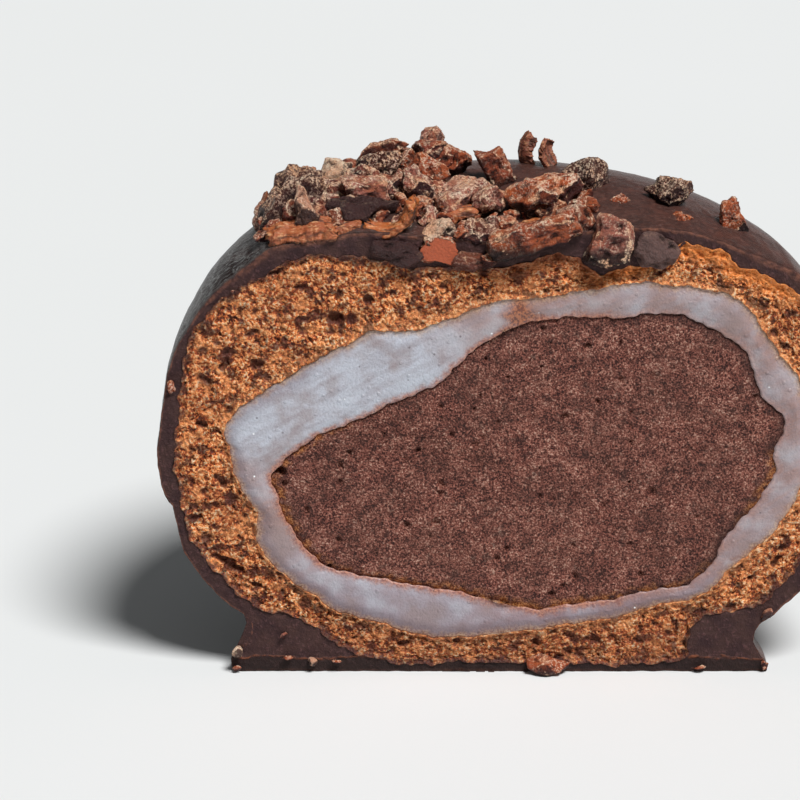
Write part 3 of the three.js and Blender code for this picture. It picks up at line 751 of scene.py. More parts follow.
def settled(tree, shape, local):
    """Turns a nib's own points and sets them on the crown, sliced flat where the knife passed."""
    inputs = {"Vector": local, "Rotation": own(tree, "spin", "FLOAT_VECTOR")}
    turned = add(tree, "ShaderNodeVectorRotate", inputs, rotation_type="EULER_XYZ").outputs[0]
    spot = vector(tree, "ADD", scaled(tree, turned, MM), own(tree, "centre", "FLOAT_VECTOR"))
    x, y, z = parts_of(tree, spot)
    front = own(tree, "front")
    shape = kept(tree, shape, "above", parts_of(tree, turned)[2])
    shape = kept(tree, shape, "sliced", calc(tree, "LESS_THAN", y, front))
    place = joined(tree, x, larger(tree, y, front), z)
    shape = add(tree, "GeometryNodeSetPosition", {"Geometry": shape, "Position": place}).outputs[0]
    return kept(tree, shape, "up", parts_of(tree, add(tree, "GeometryNodeInputNormal").outputs[0])[2])


def scattered(tree, points, body):
    """Copies of a body at every point, as plain mesh that knows the middle of its copy."""
    marked = kept(tree, points, "centre", add(tree, "GeometryNodeInputPosition").outputs[0], "FLOAT_VECTOR")
    copies = add(tree, "GeometryNodeInstanceOnPoints", {"Points": marked, "Instance": body}).outputs[0]
    shape = add(tree, "GeometryNodeRealizeInstances", {0: copies}).outputs[0]
    here = add(tree, "GeometryNodeInputPosition").outputs[0]
    return shape, vector(tree, "SUBTRACT", here, own(tree, "centre", "FLOAT_VECTOR"))


def chance(tree, low, high, number, seed):
    """A repeatable number for each nib."""
    inputs = {2: low, 3: high, "ID": number, "Seed": seed}
    return add(tree, "FunctionNodeRandomValue", inputs, data_type="FLOAT").outputs[1]


def nib_tree(material):
    """Broken nibs: balls cut by flat planes and hollowed by scoops, with crags and a grainy break."""
    tree, sizes = shape_tree(
        "Broken nibs",
        {
            "Fineness": 5, "Planes": 9, "Scoop depth": 0.3, "Scallop height": 0.9, "Grain height": 0.55,
            "Seed": 5, "Material": material,
        },
    )
    inputs = {"Radius": 1.0, "Subdivisions": sizes["Fineness"]}
    ball = add(tree, "GeometryNodeMeshIcoSphere", inputs).outputs[0]
    shape, local = scattered(tree, sizes["Geometry"], ball)
    way = vector(tree, "NORMALIZE", local)
    number = own(tree, "number", "INT")
    form = own(tree, "form")
    squared = calc(tree, "LESS_THAN", form, 0.0)
    sides = parts_of(tree, vector(tree, "ABSOLUTE", way))
    block = calc(tree, "DIVIDE", 0.86, larger(tree, *sides))
    whole = add(tree, "ShaderNodeMix", {0: squared, 2: 1.2, 3: block}).outputs[0]

    start = tree.nodes.new("GeometryNodeRepeatInput")
    end = tree.nodes.new("GeometryNodeRepeatOutput")
    start.pair_with_output(end)
    for key in ("Reach", "Next", "Skin"):
        end.repeat_items.new("FLOAT", key)
    feed(tree, start.inputs["Iterations"], sizes["Planes"])
    for key, value in {"Reach": whole, "Next": 1.6, "Skin": 0.5}.items():
        feed(tree, start.inputs[key], value)
    turn = start.outputs["Iteration"]
    ticket = plus(tree, times(tree, number, TICKETS), turn)
    step = calc(tree, "DIVIDE", plus(tree, times(tree, turn, 2.0), 1.0), sizes["Planes"])
    rise = minus(tree, 1.0, step)
    angle = plus(tree, times(tree, turn, GOLDEN_ANGLE), chance(tree, 0.0, 2.2, ticket, 1))
    flat = calc(tree, "SQRT", minus(tree, 1.0, times(tree, rise, rise)))
    normal = joined(tree, times(tree, flat, calc(tree, "COSINE", angle)),
                    times(tree, flat, calc(tree, "SINE", angle)), rise)
    facing = larger(tree, vector(tree, "DOT_PRODUCT", way, normal), 0.05)
    apart = calc(tree, "MULTIPLY_ADD", squared, 0.3, chance(tree, 0.6, 1.1, ticket, sizes["Seed"]))
    reach = calc(tree, "DIVIDE", apart, facing)
    before, second = start.outputs["Reach"], start.outputs["Next"]
    nearer = calc(tree, "LESS_THAN", reach, before)
    feed(tree, end.inputs["Reach"], calc(tree, "SMOOTH_MIN", before, reach, 0.02))
    feed(tree, end.inputs["Next"], smaller(tree, second, larger(tree, before, reach)))
    drawn = chance(tree, 0.0, 1.0, ticket, 3)
    skin = add(tree, "ShaderNodeMix", {0: nearer, 2: start.outputs["Skin"], 3: drawn})
    feed(tree, end.inputs["Skin"], skin.outputs[0])

    length = end.outputs["Reach"]
    edge = minus(tree, end.outputs["Next"], length)
    for seed in (11, 12):
        inputs = {0: (-1.0, -1.0, -1.0), 1: (1.0, 1.0, 1.0), "ID": number, "Seed": seed}
        aim = add(tree, "FunctionNodeRandomValue", inputs, data_type="FLOAT_VECTOR").outputs[0]
        near = vector(tree, "DOT_PRODUCT", way, vector(tree, "NORMALIZE", aim))
        length = minus(tree, length, times(tree, span(tree, near, 0.6, 1.0), sizes["Scoop depth"]))
    x, y, z = parts_of(tree, scaled(tree, way, length))
    to_top = calc(tree, "MULTIPLY_ADD", z, 0.55, 0.45)
    narrow = minus(tree, 1.0, times(tree, calc(tree, "ABSOLUTE", form), to_top))
    body = joined(tree, times(tree, x, narrow), times(tree, y, narrow), z)
    body = vector(tree, "MULTIPLY", body, own(tree, "size", "FLOAT_VECTOR"))
    shift = scaled(tree, NIB_SHIFT, number)
    mark = vector(tree, "ADD", body, shift)
    stir = scaled(tree, stirring(tree, mark, 0.9, 3.0, 0.6), 0.9)
    scallop = minus(tree, cells(tree, vector(tree, "ADD", mark, stir), 0.62)["Distance"], 0.5)
    grain = minus(tree, noise(tree, mark, 1.9, 4.0, 0.7), 0.5)
    swell = times(tree, scallop, sizes["Scallop height"])
    swell = plus(tree, swell, times(tree, grain, sizes["Grain height"]))
    body = vector(tree, "ADD", body, scaled(tree, way, swell))
    shape = kept(tree, shape, "skin", end.outputs["Skin"])
    shape = kept(tree, shape, "edge", edge)
    shape = kept(tree, shape, "rise", plus(tree, times(tree, grain, 1.6), scallop))
    return end_tree(tree, settled(tree, shape, body), sizes["Material"])


def husk_tree(material):
    """Curls of husk: thin ragged plates, bent along their length and rippled."""
    tree, sizes = shape_tree("Curled husks", {"Ripple": 0.6, "Ragged": 0.35, "Material": material})
    inputs = {"Size": (1.0, 1.0, 1.0), "Vertices X": 64, "Vertices Y": 32, "Vertices Z": 5}
    plate = add(tree, "GeometryNodeMeshCube", inputs).outputs[0]
    shape, local = scattered(tree, sizes["Geometry"], plate)
    number = own(tree, "number", "INT")
    size = vector(tree, "MULTIPLY", own(tree, "size", "FLOAT_VECTOR"), (2.0, 2.0, 2.0))
    x, y, z = parts_of(tree, vector(tree, "MULTIPLY", local, size))
    outer_x, outer_y, _ = parts_of(tree, vector(tree, "ABSOLUTE", local))
    shift = scaled(tree, HUSK_SHIFT, number)
    spot = vector(tree, "ADD", joined(tree, x, y, z), shift)
    fibres = vector(tree, "ADD", joined(tree, times(tree, x, 0.15), y, z), shift)
    ripple = minus(tree, noise(tree, fibres, 0.6, 4.0, 0.6), 0.5)
    fine = minus(tree, noise(tree, fibres, 2.2, 3.0), 0.5)
    raised = plus(tree, times(tree, ripple, sizes["Ripple"]), times(tree, fine, 0.2))
    torn_side = minus(tree, noise(tree, scaled(tree, spot, 0.8), 1.0, 4.0, 0.7), 0.5)
    torn_end = minus(tree, noise(tree, vector(tree, "ADD", spot, (9.0, 4.0, 2.0)), 0.8, 4.0, 0.7), 0.5)
    torn = times(tree, sizes["Ragged"], 3.0)
    torn_side = times(tree, torn_side, span(tree, outer_y, 0.2, 0.5))
    torn_end = times(tree, torn_end, span(tree, outer_x, 0.3, 0.5))
    side = times(tree, y, plus(tree, 0.9, times(tree, torn_side, torn)))
    long_end = times(tree, x, plus(tree, 0.95, times(tree, torn_end, torn)))
    length, width, _ = parts_of(tree, size)
    cross = calc(tree, "DIVIDE", times(tree, y, y, -0.8), width)
    thin = times(tree, z, span(tree, noise(tree, spot, 0.7, 3.0), 0.3, 0.7, 0.4, 1.0))
    lifted = plus(tree, thin, raised, cross)
    radius = calc(tree, "DIVIDE", length, own(tree, "form"))
    angle = calc(tree, "DIVIDE", long_end, radius)
    reach = plus(tree, radius, lifted)
    curl = joined(tree, times(tree, reach, calc(tree, "SINE", angle)), side,
                  minus(tree, times(tree, reach, calc(tree, "COSINE", angle)), radius))
    shape = kept(tree, shape, "fibre", fine)
    return end_tree(tree, settled(tree, shape, curl), sizes["Material"])


def seeded(seed):
    """A repeatable stream of numbers from 0 to 1."""
    state = ((seed + 1) * CHANCE["start"]) % CHANCE["range"]
    while True:
        state = (state * CHANCE["factor"] + CHANCE["step"]) % CHANCE["range"]
        yield state / CHANCE["range"]


def between(limits, share):
    """A value between two limits."""
    return limits[0] + (limits[1] - limits[0]) * share


def heap_nibs(heap, nib_size):
    """Nibs spread over the crown by a rule, between and behind the listed ones."""
    draw = seeded(heap["seed"])
    low = [nib for nib in CHUNKS + DRIPS + HUSKS if nib[2] < heap["under"]]
    nibs = []
    for k in range(heap["points"]):
        radius = heap["radius"] * math.sqrt((k + 0.5) / heap["points"])
        x = heap["x"] + radius * math.cos(k * GOLDEN_ANGLE)
        depth = radius * math.sin(k * GOLDEN_ANGLE)
        length = between(nib_size["length"], next(draw))
        width = length * between(nib_size["width"], next(draw))
        height = length * between(nib_size["height"], next(draw))
        turn = 360 * next(draw)
        lean = between(nib_size["lean"], next(draw))
        free = all(math.hypot(nib[0] - x, nib[1] - depth) > heap["clear"] for nib in low)
        if heap["nearest"] < depth < heap["farthest"] and free:
            looks = (0, between(nib_size["tone"], (k * TONE_STEP) % 1), MOST_COVER * ((k * COVER_STEP) % 1))
            nibs.append((x, depth, heap["lift"], length, width, height, turn, lean, *looks))
    return nibs


def nib_points(name, nibs, crown):
    """One point for each nib on the crown, with its size, turn, looks and number."""
    rows = {key: [] for key in ("spot", "size", "spin", "form", "tone", "cover", "front")}
    for x, depth, lift, length, width, height, turn, lean, form, tone, cover in nibs:
        above = Vector(placed(x, max(depth, SURE_DEPTH), ABOVE_ALL))
        top = crown.ray_cast(above, Vector((0, 0, -1)))[0].z if crown else 0
        rows["spot"].append((*placed(x, depth, 0.0)[:2], top + lift * MM))
        rows["size"].append((length / 2, width / 2, height / 2))
        rows["spin"].append((0, -math.radians(lean), math.radians(turn)))
        rows["form"].append(form)
        rows["tone"].append(tone)
        rows["cover"].append(cover)
        rows["front"].append(cut_y - (OVERHANG if depth < 0 else FLUSH) * MM)
    mesh = bpy.data.meshes.new(name)
    mesh.from_pydata(rows["spot"], [], [])
    for key in ("size", "spin"):
        flat = np.ravel(rows[key]).astype(np.float32)
        mesh.attributes.new(key, "FLOAT_VECTOR", "POINT").data.foreach_set("vector", flat)
    for key in ("form", "tone", "cover", "front"):
        mesh.attributes.new(key, "FLOAT", "POINT").data.foreach_set("value", np.array(rows[key], np.float32))
    numbers = np.arange(len(nibs), dtype=np.int32)
    mesh.attributes.new("number", "INT", "POINT").data.foreach_set("value", numbers)
    made = bpy.data.objects.new(name, mesh)
    bpy.context.scene.collection.objects.link(made)
    return made


# Finishes


def tint(code):
    """A colour from its six-figure code."""
    parts = [int(code[i : i + 2], 16) / 255 for i in (0, 2, 4)]
    return (*(c / 12.92 if c <= 0.04045 else ((c + 0.055) / 1.055) ** 2.4 for c in parts), 1.0)


def finish_group(name, inputs):
    """An empty group of finish nodes with named inputs that puts out a mask."""
    tree = bpy.data.node_groups.new(name, "ShaderNodeTree")
    for key, value in inputs.items():
        kind = "NodeSocketFloat" if isinstance(value, float) else "NodeSocketVector"
        tree.interface.new_socket(key, in_out="INPUT", socket_type=kind).default_value = value
    tree.interface.new_socket("Mask", in_out="OUTPUT", socket_type="NodeSocketFloat")
    return tree, tree.nodes.new("NodeGroupInput").outputs, tree.nodes.new("NodeGroupOutput").inputs


def specks_group():
    """Scattered specks of uneven size: a mask that is 1 on a speck."""
    inputs = {"Place": (0.0, 0.0, 0.0), "Per mm": 2.0, "Share": 0.3, "Size": 0.4}
    tree, given, result = finish_group("Specks", inputs)
    found = cells(tree, given["Place"], given["Per mm"])
    luck = parts_of(tree, found["Color"])[0]
    chosen = calc(tree, "LESS_THAN", luck, given["Share"])
    near = span(tree, found["Distance"], times(tree, given["Size"], 0.5), given["Size"], 1.0, 0.0)
    feed(tree, result["Mask"], times(tree, chosen, near))
    return tree


def patches_group():
    """Soft uneven patches from 0 to 1."""
    inputs = {"Place": (0.0, 0.0, 0.0), "Per mm": 0.4, "Sharpness": 0.5}
    tree, given, result = finish_group("Patches", inputs)
    cloud = noise(tree, given["Place"], given["Per mm"], 4.0, 0.6)
    half = times(tree, minus(tree, 1.0, given["Sharpness"]), 0.35)
    feed(tree, result["Mask"], span(tree, cloud, minus(tree, 0.5, half), plus(tree, 0.5, half)))
    return tree


SPECKS = specks_group()
PATCHES = patches_group()


def use(tree, group, **inputs):
    """A group of finish nodes placed in a material. Returns its mask."""
    made = add(tree, "ShaderNodeGroup", node_tree=group)
    for key, value in inputs.items():
        feed(tree, made.inputs[key.replace("_", " ").capitalize()], value)
    return made.outputs[0]


def new_finish(name, **constants):
    """A material with its tree, its shader's inputs and the place of each point in millimetres."""
    made = bpy.data.materials.new(name)
    made.use_nodes = True
    tree = made.node_tree
    shader = tree.nodes["Principled BSDF"]
    for key, value in constants.items():
        shader.inputs[key.replace("_", " ")].default_value = value
    place = scaled(tree, add(tree, "ShaderNodeTexCoord").outputs["Object"], 1 / MM)
    return made, tree, shader.inputs, place


def value_of(tree, name):
    """A value kept on the points of a piece."""
    return add(tree, "ShaderNodeAttribute", attribute_name=name).outputs["Fac"]


def bump(tree, height, distance):
    """A fine relief, with its height in millimetres."""
    inputs = {"Height": height, "Distance": distance * MM, "Strength": 1.0}
    return add(tree, "ShaderNodeBump", inputs).outputs[0]


def ramp(tree, value, stops):
    """A colour that follows a value through a row of stops."""
    made = add(tree, "ShaderNodeValToRGB", {"Fac": value})
    row = made.color_ramp.elements
    while len(row) < len(stops):
        row.new(0.5)
    for element, (spot, code) in zip(row, stops):
        element.position = spot
        element.color = tint(code)
    return made.outputs["Color"]


def chocolate_finish():
    """Dark chocolate: matt and torn where cut, glossy outside, with painted reflections as pale threads and
    painted shade on its left.
    """
    made, tree, shader, place = new_finish("dark chocolate")
    cut = value_of(tree, "cut")
    cloud = use(tree, PATCHES, Place=place, Per_mm=0.5, Sharpness=0.3)
    fresh = mixed(tree, cloud, "382527", "4a332f")
    fine = noise(tree, place, 2.2, 4.0, 0.7)
    fresh = mixed(tree, span(tree, fine, 0.54, 0.66, 0.0, 0.5), fresh, "6b4a4a")
    torn = use(tree, PATCHES, Place=place, Per_mm=1.2, Sharpness=0.5)
    x, _, z = parts_of(tree, place)
    top = span(tree, z, 34.0, 40.0)
    right_top = times(tree, span(tree, x, 18.0, 24.0), top)
    left_top = times(tree, span(tree, x, -20.0, -15.0, 1.0, 0.0), top)
    # A reddish band along the top of the cut rim: partly torn chocolate and partly a painted highlight on its
    # edge.
    wide_lip = span(tree, plus(tree, right_top, times(tree, left_top, 0.5)), 0.0, 1.0, 0.45, 1.6)
    lip = times(tree, span(tree, value_of(tree, "to_rim"), 0.1, wide_lip, 0.8, 0.0), torn)
    fresh = mixed(tree, lip, fresh, "8a5a48")
    seam = minus(tree, z, span(tree, noise(tree, place, 0.35, 3.0), 0.3, 0.7, 1.3, 1.8))
    fresh = mixed(tree, span(tree, seam, -0.25, 0.0, 0.75, 0.0), fresh, "261c1a")
    seam_lip = times(tree, span(tree, calc(tree, "ABSOLUTE", seam), 0.03, 0.16, 0.9, 0.0), torn)
    fresh = mixed(tree, seam_lip, fresh, "8c5238")
    dark = mixed(tree, cloud, "442b26", "5c3a32")
    # Lighter specks on the outside are painted highlights, and darker specks painted shade, of fine wrinkles.
    dark = mixed(tree, span(tree, fine, 0.52, 0.64, 0.0, 0.22), dark, "93695c")
    dark = mixed(tree, span(tree, fine, 0.36, 0.46, 0.4, 0.0), dark, "221513")
    # The outside is painted darker on the left: painted shade and dark reflection on the glossy shoulder that
    # faces away from the light.
    on_left = span(tree, plus(tree, x, span(tree, cloud, 0.0, 1.0, -5.0, 5.0)), -28.0, -4.0, 1.0, 0.0)
    dark = mixed(tree, times(tree, on_left, 0.85), dark, "191212")
    # Pale threads on the left shoulder are painted reflections of light on fine wrinkles.
    combed = joined(tree, times(tree, value_of(tree, "around"), 1.4),
                    times(tree, value_of(tree, "along"), 0.5), 0.0)
    strands = noise(tree, combed, 1.0, 4.0, 0.7)
    sheen_thread = span(tree, calc(tree, "ABSOLUTE", minus(tree, strands, 0.5)), 0.0, 0.024, 1.0, 0.0)
    dark = mixed(tree, times(tree, sheen_thread, span(tree, on_left, 0.0, 1.0, 0.05, 0.6)), dark, "d8dad6")
    feed(tree, shader["Base Color"], mixed(tree, cut, dark, fresh))
    feed(tree, shader["Specular IOR Level"], span(tree, cut, 0.0, 1.0, 0.35, 0.15))
    feed(tree, shader["Roughness"], span(tree, cut, 0.0, 1.0, 0.3, 0.5))
    wrinkles = plus(tree, times(tree, strands, 1.5), times(tree, sheen_thread, 0.3))
    wrinkles = times(tree, wrinkles, span(tree, on_left, 0.0, 1.0, 0.35, 1.0))
    height = add(tree, "ShaderNodeMix", {0: cut, 2: wrinkles, 3: plus(tree, fine, seam_lip)}).outputs[0]
    feed(tree, shader["Normal"], bump(tree, height, 0.3))
    return made


def crumb_finish():
    """Brown crumb: grains and clumps from dark hollows to pale crests, partly painted shade and light, soaked
    dark under the coat.
    """
    made, tree, shader, place = new_finish(
        "brown crumb", Subsurface_Weight=0.08, Subsurface_Scale=0.0004, Specular_IOR_Level=0.35, Roughness=0.5
    )
    shader["Subsurface Radius"].default_value = (1.0, 0.4, 0.15)
    sunk, torn, to_rim, to_hem = (value_of(tree, name) for name in ("sunk", "torn", "to_rim", "to_hem"))
    # Colour from dark to pale follows the grain's relief: partly the crumb's own colour, partly painted light
    # on raised grain and painted shade between.
    fine = noise(tree, place, 3.5, 2.0, 0.6)
    light = plus(tree, times(tree, torn, 0.4), times(tree, fine, 0.6))
    stops = ((0.41, "3a1206"), (0.465, "b04b1e"), (0.51, "f48c44"), (0.555, "ffbe7e"), (0.615, "ffe4c0"))
    colour = ramp(tree, light, stops)
    tone = use(tree, PATCHES, Place=place, Per_mm=0.3, Sharpness=0.6)
    colour = mixed(tree, times(tree, tone, 0.35), colour, "86401f")
    shades = use(tree, PATCHES, Place=place, Per_mm=0.8, Sharpness=0.6)
    colour = mixed(tree, times(tree, shades, 0.3), colour, "5c2412")
    # Dark patches are painted shade of hollows; pale patches lighten the crumb.
    clumps = noise(tree, place, 0.7, 2.5, 0.55)
    colour = mixed(tree, span(tree, clumps, 0.37, 0.47, 0.85, 0.0), colour, "46180a")
    colour = mixed(tree, span(tree, clumps, 0.5, 0.64, 0.0, 0.4), colour, "ffac6c")
    near_dough = span(tree, to_hem, 0.3, 1.6, 0.2, 0.0)
    colour = mixed(tree, near_dough, colour, "d99a66")
    # Pores are painted darker by their depth: painted shade inside them.
    colour = mixed(tree, span(tree, sunk, 0.05, 0.75, 0.0, 0.9), colour, "5c2c20")
    x, _, z = parts_of(tree, place)
    colour = mixed(tree, span(tree, z, 3.0, 7.0, 0.35, 0.0), colour, "6e3620")
    # An orange tint under the coat's rim: partly the moist crumb's colour and partly painted shade, darker
    # where the nib strip hangs over it, brighter to the right.
    under_coat = times(tree, span(tree, to_rim, 0.5, 2.6, 1.0, 0.0), span(tree, z, 38.0, 41.0))
    moist_and_shade = times(tree, under_coat, span(tree, x, -4.0, 2.0, 0.0, 0.75))
    colour = mixed(tree, moist_and_shade, colour, mixed(tree, span(tree, x, 6.0, 15.0), "84421a", "ff9848"))
    ragged = plus(tree, to_rim, times(tree, noise(tree, place, 1.1, 4.0, 0.75), 3.4))
    soaked = times(tree, span(tree, ragged, 1.6, 2.6, 0.9, 0.0), span(tree, moist_and_shade, 0.0, 0.75, 1.0, 0.3))
    colour = mixed(tree, soaked, colour, "46241f")
    feed(tree, shader["Base Color"], colour)
    feed(tree, shader["Normal"], bump(tree, fine, 0.3))
    return made


def mochi_finish():
    """Rice dough: pale grey and faintly streaked, stained brown along its edges."""
    made, tree, shader, place = new_finish("rice dough", Subsurface_Weight=0.3, Subsurface_Scale=0.001)
    shader["Subsurface Radius"].default_value = (0.9, 0.9, 1.0)
    x, _, z = parts_of(tree, place)
    colour = mixed(tree, span(tree, value_of(tree, "wide"), 2.5, 6.5), "a0807a", "bcbec8")
    low = times(tree, span(tree, z, 8.0, 16.0, 0.6, 0.0), span(tree, x, 8.0, 16.0, 1.0, 0.3))
    colour = mixed(tree, low, colour, "90808a")
    streaked = leaned(tree, place, STREAK_LEAN)
    streaks = noise(tree, vector(tree, "MULTIPLY", streaked, (0.3, 1.0, 2.0)), 0.8, 4.0, 0.65)
    colour = mixed(tree, span(tree, streaks, 0.42, 0.62, 0.0, 0.4), colour, "968e96")
    speckle = noise(tree, place, 4.0, 2.0, 0.6)
    colour = mixed(tree, span(tree, speckle, 0.4, 0.52, 0.12, 0.0), colour, "7d747c")
    fleck = span(tree, speckle, 0.42, 0.56)
    clouds = noise(tree, place, 0.24, 3.0, 0.55)
    colour = mixed(tree, span(tree, clouds, 0.34, 0.54, 0.6, 0.0), colour, "8e7874")
    colour = mixed(tree, span(tree, clouds, 0.46, 0.7, 0.0, 0.4), colour, "c4ccd6")
    low_or_left = larger(tree, span(tree, z, 8.0, 13.0, 0.7, 0.0), span(tree, x, -22.0, -15.0, 0.5, 0.0))
    to_rim = value_of(tree, "to_rim")
    shady = times(tree, span(tree, to_rim, 0.3, 2.2, 1.0, 0.0), low_or_left)
    colour = mixed(tree, shady, colour, "74606a")
    ragged = times(tree, noise(tree, place, 1.2, 4.0, 0.7), 1.6)
    stain = span(tree, plus(tree, value_of(tree, "to_hem"), ragged), 0.7, 1.7, 0.85, 0.0)
    stain = times(tree, stain, span(tree, x, 8.0, 16.0, 1.0, 0.35))
    colour = mixed(tree, stain, colour, mixed(tree, fleck, "8a4a34", "b87a5e"))
    glow = span(tree, plus(tree, to_rim, ragged), 0.6, 1.8, 0.65, 0.0)
    colour = mixed(tree, glow, colour, mixed(tree, fleck, "90603a", "c8a078"))
    aside, higher = (calc(tree, "ABSOLUTE", minus(tree, value, at)) for value, at in zip((x, z), SMEAR))
    smear = span(tree, plus(tree, aside, higher, ragged), 1.6, 3.6, 0.85, 0.0)
    colour = mixed(tree, smear, colour, mixed(tree, fleck, "6a3420", "b06a40"))
    # Dark pinholes are painted: the shade inside tiny holes.
    pinholes = use(tree, SPECKS, Place=place, Per_mm=0.8, Share=0.2, Size=0.12)
    colour = mixed(tree, times(tree, pinholes, 0.6), colour, "4c4448")
    # Glints are painted highlights: white streaks and specks in the colour, where the dough is also made
    # glossier.
    wet_glint = noise(tree, vector(tree, "MULTIPLY", streaked, (0.7, 1.0, 1.5)), 1.5, 6.0, 0.75)
    glint_specks = use(tree, SPECKS, Place=place, Per_mm=0.55, Share=0.22, Size=0.075)
    glints = larger(tree, span(tree, wet_glint, 0.68, 0.76), glint_specks)
    colour = mixed(tree, glints, colour, "f2f3f6")
    feed(tree, shader["Base Color"], colour)
    feed(tree, shader["Roughness"], span(tree, glints, 0.0, 1.0, 0.35, 0.15))
    beads = use(tree, SPECKS, Place=place, Per_mm=1.3, Share=0.35, Size=0.3)
    feed(tree, shader["Normal"], bump(tree, plus(tree, speckle, times(tree, beads, 0.6)), 0.1))
    return made


def paste_finish():
    """Chocolate paste: fine grit with dark clods, and orange crumbs along its rim."""
    made, tree, shader, place = new_finish("chocolate paste", Specular_IOR_Level=0.3)
    x, _, z = parts_of(tree, place)
    grit = noise(tree, place, 5.4, 3.0, 0.62)
    tone = use(tree, PATCHES, Place=place, Per_mm=0.8, Sharpness=0.2)
    value = plus(tree, grit, span(tree, tone, 0.0, 1.0, -0.055, 0.05))
    stops = ((0.37, "2b1110"), (0.455, "723d33"), (0.53, "945749"), (0.61, "b67a68"), (0.71, "ecc2ac"))
    colour = ramp(tree, value, stops)
    clods = span(tree, noise(tree, place, 1.1, 5.0, 0.7), 0.36, 0.46, 0.65, 0.0)
    colour = mixed(tree, clods, colour, "341a18")
    cast = use(tree, PATCHES, Place=place, Per_mm=0.3, Sharpness=0.3)
    colour = mixed(tree, times(tree, cast, 0.35), colour, "54382e")
    to_rim = value_of(tree, "to_rim")
    ragged = times(tree, noise(tree, place, 0.8, 4.0, 0.7), 1.2)
    # Painted shade along the rim of the paste, strongest on the right.
    rim_shade = span(tree, plus(tree, to_rim, ragged), 0.7, 2.2, 0.75, 0.0)
    colour = mixed(tree, times(tree, rim_shade, span(tree, x, 4.0, 16.0, 0.3, 1.0)), colour, "39201d")
    near_rim = span(tree, to_rim, 0.2, 1.3, 1.0, 0.0)
    left_or_low = larger(tree, span(tree, x, -19.0, -14.0, 1.0, 0.0), span(tree, z, 10.0, 13.0, 1.0, 0.0))
    right_tip = times(tree, span(tree, x, 22.0, 25.0), span(tree, z, 22.5, 24.5, 1.0, 0.0))
    crumbly = times(tree, near_rim, larger(tree, left_or_low, right_tip))
    bits = times(tree, use(tree, PATCHES, Place=place, Per_mm=0.9, Sharpness=0.7), crumbly)
    colour = mixed(tree, bits, colour, mixed(tree, span(tree, grit, 0.42, 0.58), "8c4420", "dc9458"))
    feed(tree, shader["Base Color"], colour)
    feed(tree, shader["Roughness"], span(tree, grit, 0.4, 0.6, 0.7, 0.45))
    feed(tree, shader["Normal"], bump(tree, grit, 0.5))
    return made


